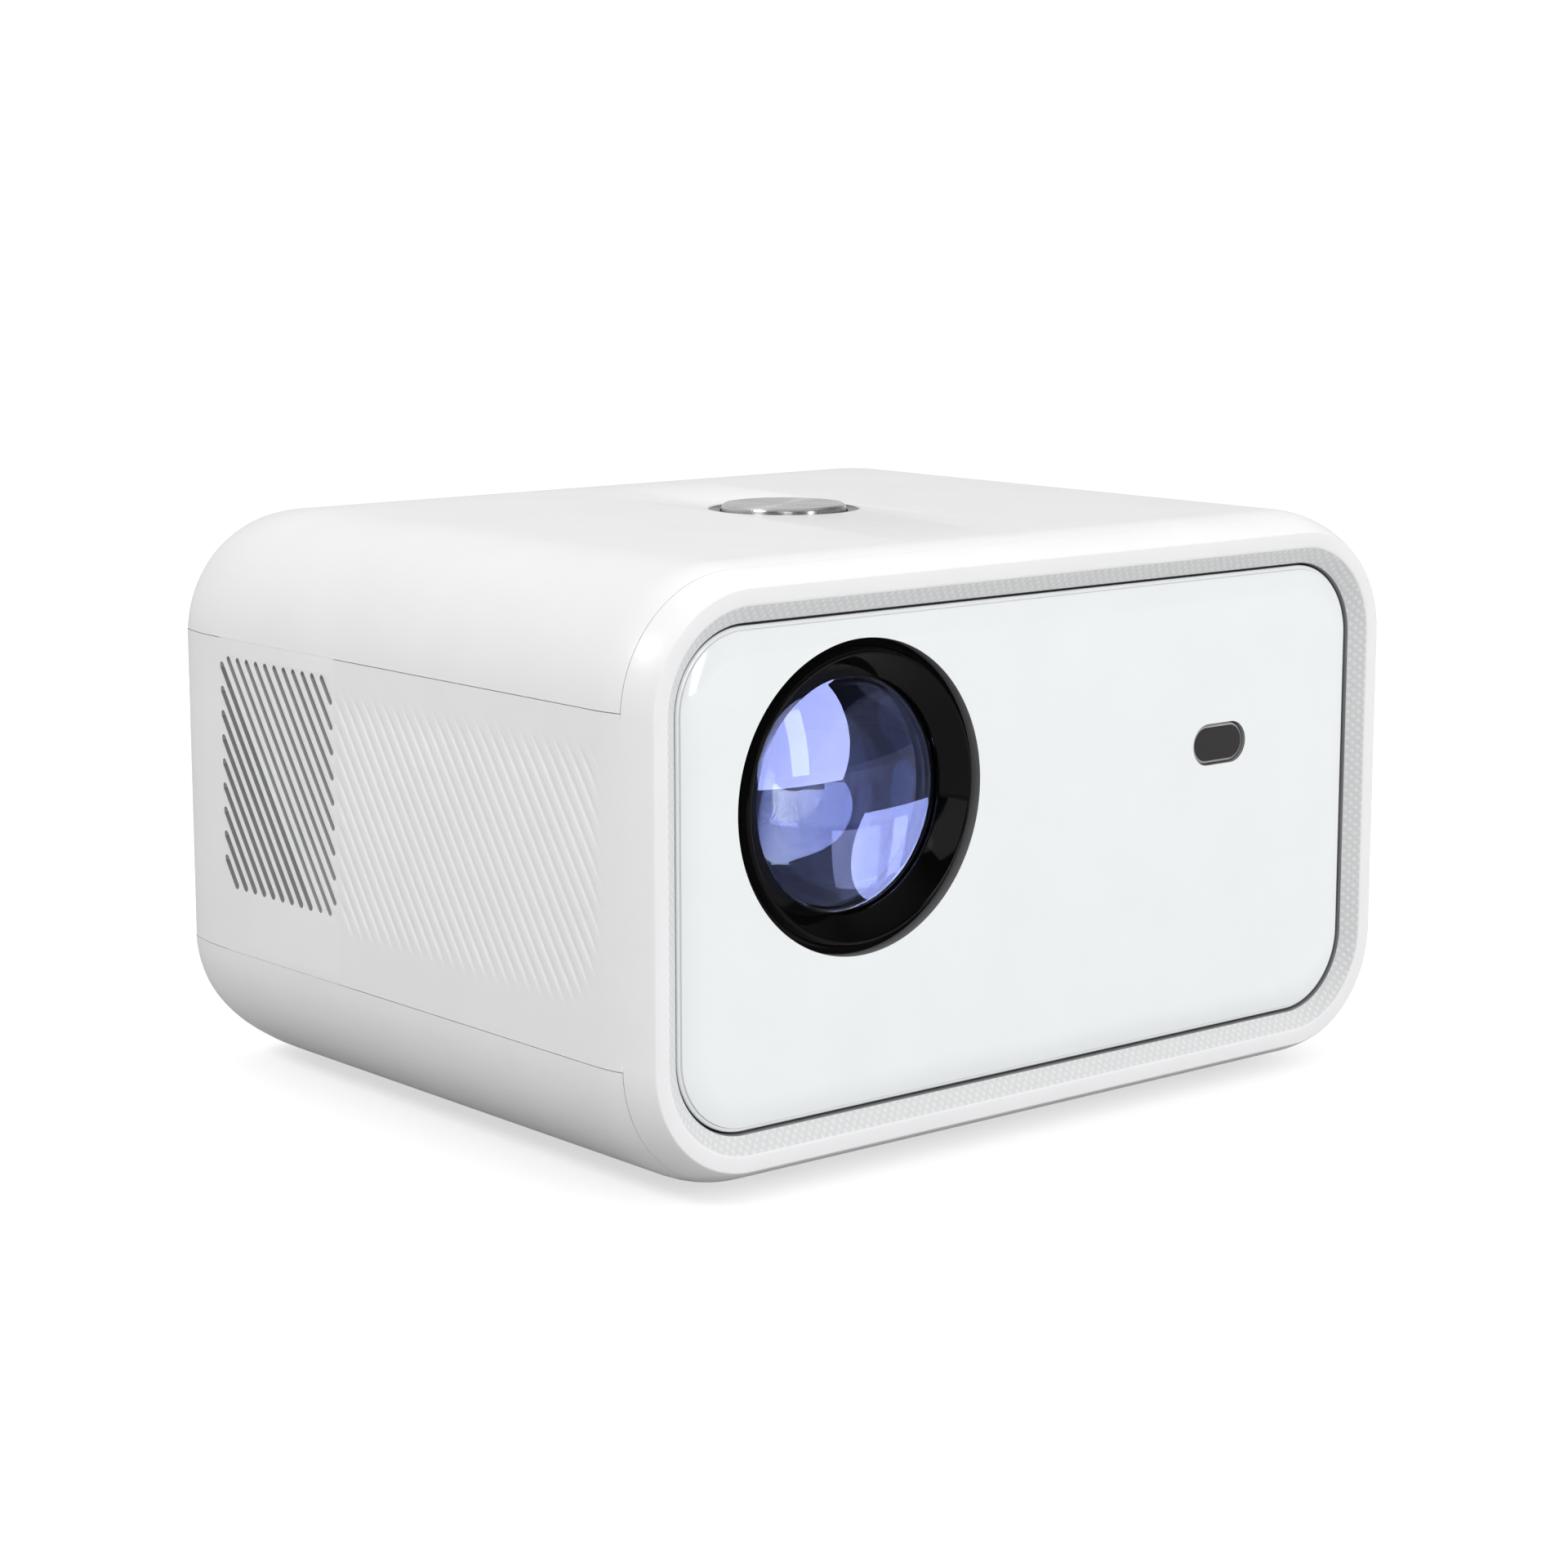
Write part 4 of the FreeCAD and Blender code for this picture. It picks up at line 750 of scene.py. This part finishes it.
def circuit_board():
    """Green circuit board with lighter tracks and drilled pads."""
    kit = Nodes("green_board")
    tracks = kit.add("ShaderNodeTexBrick", Scale=120.0, offset=0.35)
    tracks.inputs["Mortar Size"].default_value = 0.035
    kit.link(kit.coords, tracks.inputs["Vector"])
    pads = kit.add("ShaderNodeTexVoronoi", Scale=260.0)
    kit.link(kit.coords, pads.inputs["Vector"])
    base = kit.mixed(tracks.outputs["Fac"], (0.012, 0.10, 0.035), (0.03, 0.20, 0.08))
    dots = kit.add("ShaderNodeMix", data_type="RGBA")
    kit.link(kit.ranged(pads.outputs["Distance"], 1, 0, 0.12, 0.16), dots.inputs[0])
    kit.link(base, dots.inputs[6])
    dots.inputs[7].default_value = (0.55, 0.52, 0.42, 1)
    kit.link(dots.outputs[2], kit.shader.inputs["Base Color"])
    kit.link(kit.ranged(kit.noise(400.0), 0.3, 0.45), kit.shader.inputs["Roughness"])
    kit.bump(tracks.outputs["Fac"], 0.3, 0.00004)
    return kit


def woven_mesh():
    """Dark woven dust mesh: two crossing sets of threads."""
    kit = Nodes("mesh")
    heights = []
    for turn in (0.785, -0.785):
        wave = kit.add("ShaderNodeTexWave", wave_type="BANDS", bands_direction="Y", Scale=520.0)
        kit.link(kit.stretched((1, 1, 1), turn=(turn, 0, 0)), wave.inputs["Vector"])
        heights.append(wave.outputs["Fac"])
    both = kit.add("ShaderNodeMath", operation="MAXIMUM")
    kit.link(heights[0], both.inputs[0])
    kit.link(heights[1], both.inputs[1])
    threads = kit.ranged(both.outputs[0], 0, 1, 0.3, 0.9)
    kit.link(kit.mixed(threads, (0.02, 0.02, 0.022), (0.16, 0.16, 0.165)), kit.shader.inputs["Base Color"])
    kit.link(kit.ranged(kit.noise(200.0), 0.5, 0.65), kit.shader.inputs["Roughness"])
    kit.bump(both.outputs[0], 0.8, 0.0002)
    return kit


def rim_grain_and_shade():
    """Inner slope of the rim: white plastic with a fine diamond grain, coloured darker than the case as
    painted shade.
    """
    kit = Nodes("rim_slope_grain_and_shade")
    heights = []
    for turn in (0.785, -0.785):
        wave = kit.add("ShaderNodeTexWave", wave_type="BANDS", bands_direction="X", Scale=230.0)
        kit.link(kit.stretched((1, 1, 1), turn=(0, turn, 0)), wave.inputs["Vector"])
        heights.append(wave.outputs["Fac"])
    both = kit.add("ShaderNodeMath", operation="MULTIPLY")
    kit.link(heights[0], both.inputs[0])
    kit.link(heights[1], both.inputs[1])
    tone = kit.ranged(both.outputs[0], 0, 1, 0.05, 0.6)
    # painted shade: both tones sit below the case's white; the diamond grain between them is the slope's
    # own pattern
    kit.link(kit.mixed(tone, (0.655, 0.66, 0.665), (0.73, 0.735, 0.74)), kit.shader.inputs["Base Color"])
    kit.link(kit.ranged(kit.noise(300.0), 0.30, 0.42), kit.shader.inputs["Roughness"])
    kit.bump(both.outputs[0], 0.7, 0.00012)
    return kit


def wound_coil():
    """Copper windings, as close bands."""
    kit = basic("copper_coil", (0.62, 0.28, 0.10), 0.32, metal=1.0)
    wave = kit.add("ShaderNodeTexWave", wave_type="BANDS", bands_direction="Z", Scale=420.0)
    kit.link(kit.coords, wave.inputs["Vector"])
    kit.bump(wave.outputs["Fac"], 0.7, 0.0002)
    return kit


def coated(name, colour, film, **sockets):
    """Clear lens glass with a thin coloured coating and a few specks of dust."""
    kit = Nodes(name)
    tint = kit.ranged(kit.noise(40.0), 0, 1)
    kit.link(kit.mixed(tint, colour, tuple(c * 0.96 for c in colour)), kit.shader.inputs["Base Color"])
    specks = kit.ranged(kit.noise(900.0, 2.0), 0.0, 0.03, 0.5, 0.9)
    kit.link(specks, kit.shader.inputs["Roughness"])
    kit.shader.inputs["Transmission Weight"].default_value = 1.0
    kit.shader.inputs["Thin Film Thickness"].default_value = film
    kit.shader.inputs["Thin Film IOR"].default_value = 1.38
    for key, value in sockets.items():
        kit.shader.inputs[key.replace("_", " ")].default_value = value
    return kit


MATERIALS = {kit.name: kit.material for kit in [
    basic("white_case", (0.80, 0.80, 0.81), 0.34, vary=0.012, grain=(2600.0, 0.22, 0.00002),
          Specular_IOR_Level=0.4),
    basic("white_panel", (0.82, 0.85, 0.86), 0.10, vary=0.01, rough_vary=0.03,
          grain=(90.0, 0.05, 0.00004), Coat_Weight=0.6, Coat_Roughness=0.03),
    # painted shade for the walls of the panel's lens and window holes
    basic("panel_hole_shade", (0.30, 0.30, 0.31), 0.5, vary=0.05),
    basic("gap_shade", (0.20, 0.20, 0.205), 0.6, vary=0.05),
    basic("slot_shade", (0.40, 0.40, 0.405), 0.6, vary=0.06),
    # painted highlight on the window's bevel
    basic("window_bevel_highlight", (0.42, 0.41, 0.41), 0.3, vary=0.05),
    basic("black_plastic", (0.022, 0.022, 0.024), 0.42, vary=0.15),
    basic("black_gloss", (0.0015, 0.0015, 0.0016), 0.06, vary=0.2, rough_vary=0.02,
          grain=(400.0, 0.04, 0.00002), Specular_IOR_Level=0.16),
    basic("window", (0.006, 0.005, 0.006), 0.07, vary=0.2, rough_vary=0.02,
          grain=(150.0, 0.04, 0.00003), Coat_Weight=0.4, Coat_Roughness=0.02),
    spun_metal("button_metal", 0.92, 0.27),
    spun_metal("collar_metal", 0.14, 0.25),
    coated("coated_glass", (0.80, 0.84, 0.98), 0.0, IOR=1.85, Specular_Tint=(0.40, 0.46, 1.0, 1)),
    coated("clear_glass", (0.95, 0.97, 0.98), 120.0, IOR=1.6),
    basic("lcd", (0.03, 0.035, 0.05), 0.15, vary=0.3, patches=200.0),
    basic("barrel_metal", (0.012, 0.012, 0.013), 0.45, metal=0.2, vary=0.2),
    basic("nylon", (0.72, 0.71, 0.66), 0.45, vary=0.03),
    basic("steel", (0.55, 0.55, 0.57), 0.32, metal=1.0, vary=0.06, vector=(1, 1, 12)),
    basic("bare_aluminium", (0.68, 0.69, 0.70), 0.38, metal=1.0, vary=0.05, vector=(1, 14, 1)),
    basic("brass", (0.72, 0.52, 0.22), 0.28, metal=1.0, vary=0.06),
    wound_coil(),
    circuit_board(),
    basic("chip", (0.018, 0.018, 0.02), 0.5, vary=0.25, grain=(3000.0, 0.4, 0.00005)),
    basic("capacitor", (0.03, 0.04, 0.07), 0.3, vary=0.15),
    basic("led_phosphor", (0.85, 0.70, 0.15), 0.5, vary=0.08),
    woven_mesh(),
    basic("foam", (0.05, 0.05, 0.052), 0.85, vary=0.4, patches=700.0, grain=(900.0, 1.0, 0.0005)),
    basic("orange_film", (0.62, 0.25, 0.03), 0.3, vary=0.08),
    basic("paper_cone", (0.035, 0.034, 0.032), 0.75, vary=0.25, grain=(700.0, 0.6, 0.0002)),
    basic("rubber", (0.03, 0.03, 0.031), 0.7, vary=0.2),
    rim_grain_and_shade(),
]}


def finish_cad_nodes():
    """Give every CAD node the finish of its slot in the record."""
    for subpart in frame["record"]["subparts"]:
        obj = frame["nodes"][subpart["node"]]
        for slot in obj.material_slots:
            slot.link = "OBJECT"
            slot.material = MATERIALS[subpart["material_slot"]]


# ---------------------------------------------------------------- studio

AIM = (0, 0, 0.06)
# Each light: name, place and aim in metres, size, power in watts, shape, shown in reflections.
LIGHTS = [
    ("key", (-1.0, -1.1, 1.0), AIM, (0.55, 0.55), 0.6, "ELLIPSE", True),
    ("side", (-1.3, 0.1, 1.2), AIM, (0.5, 0.5), 11.5, "ELLIPSE", True),
    ("front", (-0.72, -1.12, 0.42), AIM, (0.35, 0.75), 0.9, "RECTANGLE", True),
    ("strip", (0.29, -1.49, 0.36), AIM, (0.20, 0.60), 2.4, "RECTANGLE", True),
    ("fill", (1.0, -1.5, 0.5), AIM, (0.8, 0.8), 6.8, "RECTANGLE", False),
    ("overhead", (0.1, 0.5, 1.6), AIM, (1.0, 0.7), 0.6, "RECTANGLE", False),
]
LENS_LIGHT_FROM = (0.145, -0.957, 0.225)


def floor():
    """Large pale floor, which looks plain white to the camera."""
    kit = basic("floor_paint", (0.46, 0.46, 0.46), 0.7, vary=0.01, patches=4.0, grain=(300.0, 0.05, 0.0001))
    seen = kit.add("ShaderNodeLightPath").outputs["Is Camera Ray"]
    kit.link(kit.ranged(seen, 0.0, 0.62, 0, 1), kit.shader.inputs["Emission Strength"])
    kit.shader.inputs["Emission Color"].default_value = (1, 1, 1, 1)
    grid = bmesh.new()
    bmesh.ops.create_grid(grid, x_segments=8, y_segments=8, size=12.0)
    mesh = bpy.data.meshes.new("floor")
    grid.to_mesh(mesh)
    grid.free()
    obj = bpy.data.objects.new("floor", mesh)
    bpy.context.scene.collection.objects.link(obj)
    obj.location.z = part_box("feet")[0].z
    mesh.materials.append(kit.material)


def soft_light(name, place, aim, size, power, shape="RECTANGLE", mirrored=True):
    """Soft light that faces a point; glossy surfaces show it only if it is mirrored."""
    data = bpy.data.lights.new(name, "AREA")
    data.shape = shape
    data.size, data.size_y = size
    data.energy = power
    obj = bpy.data.objects.new(name, data)
    bpy.context.scene.collection.objects.link(obj)
    obj.visible_glossy = mirrored
    obj.location = place
    obj.rotation_euler = (Vector(aim) - Vector(place)).to_track_quat("-Z", "Y").to_euler()
    return obj


def lens_light(name, glass, direction, size, power):
    """Disc a metre from the lens that only the lens glass mirrors."""
    aim = in_frame(LENS.x, 0, LENS.z)
    disc = soft_light(name, aim + Vector(direction).normalized(), aim, (size, size), power, shape="ELLIPSE")
    disc.visible_diffuse = False
    shown = bpy.data.collections.new(name + "_shown_in")
    shown.objects.link(glass)
    disc.light_linking.receiver_collection = shown


def summed(tree, coords, parts):
    """Sum of smooth ramps along the axes; each part is (axis, from, to, low, high)."""
    split = tree.nodes.new("ShaderNodeSeparateXYZ")
    tree.links.new(coords, split.inputs[0])
    total = None
    for axis, start, end, low, high in parts:
        ramp = tree.nodes.new("ShaderNodeMapRange")
        ramp.interpolation_type = "SMOOTHSTEP"
        for name, value in zip(("From Min", "From Max", "To Min", "To Max"), (start, end, low, high)):
            ramp.inputs[name].default_value = value
        tree.links.new(split.outputs[axis], ramp.inputs["Value"])
        if total is None:
            total = ramp.outputs["Result"]
            continue
        add = tree.nodes.new("ShaderNodeMath")
        tree.links.new(total, add.inputs[0])
        tree.links.new(ramp.outputs["Result"], add.inputs[1])
        total = add.outputs[0]
    return total


def studio_world():
    """White surroundings that light from above and in front, with a dim studio in reflections."""
    world = bpy.data.worlds.new("studio")
    bpy.context.scene.world = world
    world.use_nodes = True
    tree = world.node_tree
    tree.nodes.clear()
    out = tree.nodes.new("ShaderNodeOutputWorld")
    coords = tree.nodes.new("ShaderNodeTexCoord").outputs["Generated"]
    path = tree.nodes.new("ShaderNodeLightPath")
    light = summed(tree, coords, [("X", -0.9, 0.9, 0.20, 0.80), ("Y", -0.9, 0.9, 0.36, -0.05),
                                  ("Z", 0.0, 0.9, 0.0, 0.26)])
    mirror = summed(tree, coords, [("X", -0.9, 0.9, 0.03, 0.10), ("Y", 0.0, 0.7, 0.0, 0.45),
                                   ("Z", 0.6, 0.95, 0.0, 0.35)])
    shader = background(tree, light)
    seen = {"Is Glossy Ray": background(tree, mirror), "Is Camera Ray": background(tree, None)}
    for flag, other in seen.items():
        choose = tree.nodes.new("ShaderNodeMixShader")
        tree.links.new(path.outputs[flag], choose.inputs[0])
        tree.links.new(shader, choose.inputs[1])
        tree.links.new(other, choose.inputs[2])
        shader = choose.outputs[0]
    tree.links.new(shader, out.inputs["Surface"])


def background(tree, strength):
    """White background shader, with a linked strength or full strength."""
    node = tree.nodes.new("ShaderNodeBackground")
    node.inputs["Color"].default_value = (1, 1, 1, 1)
    node.inputs["Strength"].default_value = 1.02
    if strength:
        tree.links.new(strength, node.inputs["Strength"])
    return node.outputs[0]


def camera():
    """Camera at the front left, ten degrees above the horizon."""
    data = bpy.data.cameras.new("camera")
    data.lens = 81.38
    data.sensor_width = 36.0
    data.clip_end = 60.0
    obj = bpy.data.objects.new("camera", data)
    bpy.context.scene.collection.objects.link(obj)
    obj.location = (-0.49291, -0.58491, 0.19689)
    obj.rotation_euler = (math.radians(79.95), 0.0, math.radians(-40.10))
    bpy.context.scene.camera = obj


top_cover()
front_rim()
side_wall(-1, "frame_wall_left")
side_wall(1, "frame_wall_right")
front_panel()
trim_ring()
GLASS = front_glass()
button_cap()
window_glass()
button_collar()
finish_cad_nodes()
floor()
studio_world()
for light in LIGHTS:
    soft_light(*light)
lens_light("lens_disc", GLASS, LENS_LIGHT_FROM, 1.1, 32.0)
camera()
bpy.context.scene.view_settings.view_transform = "Standard"
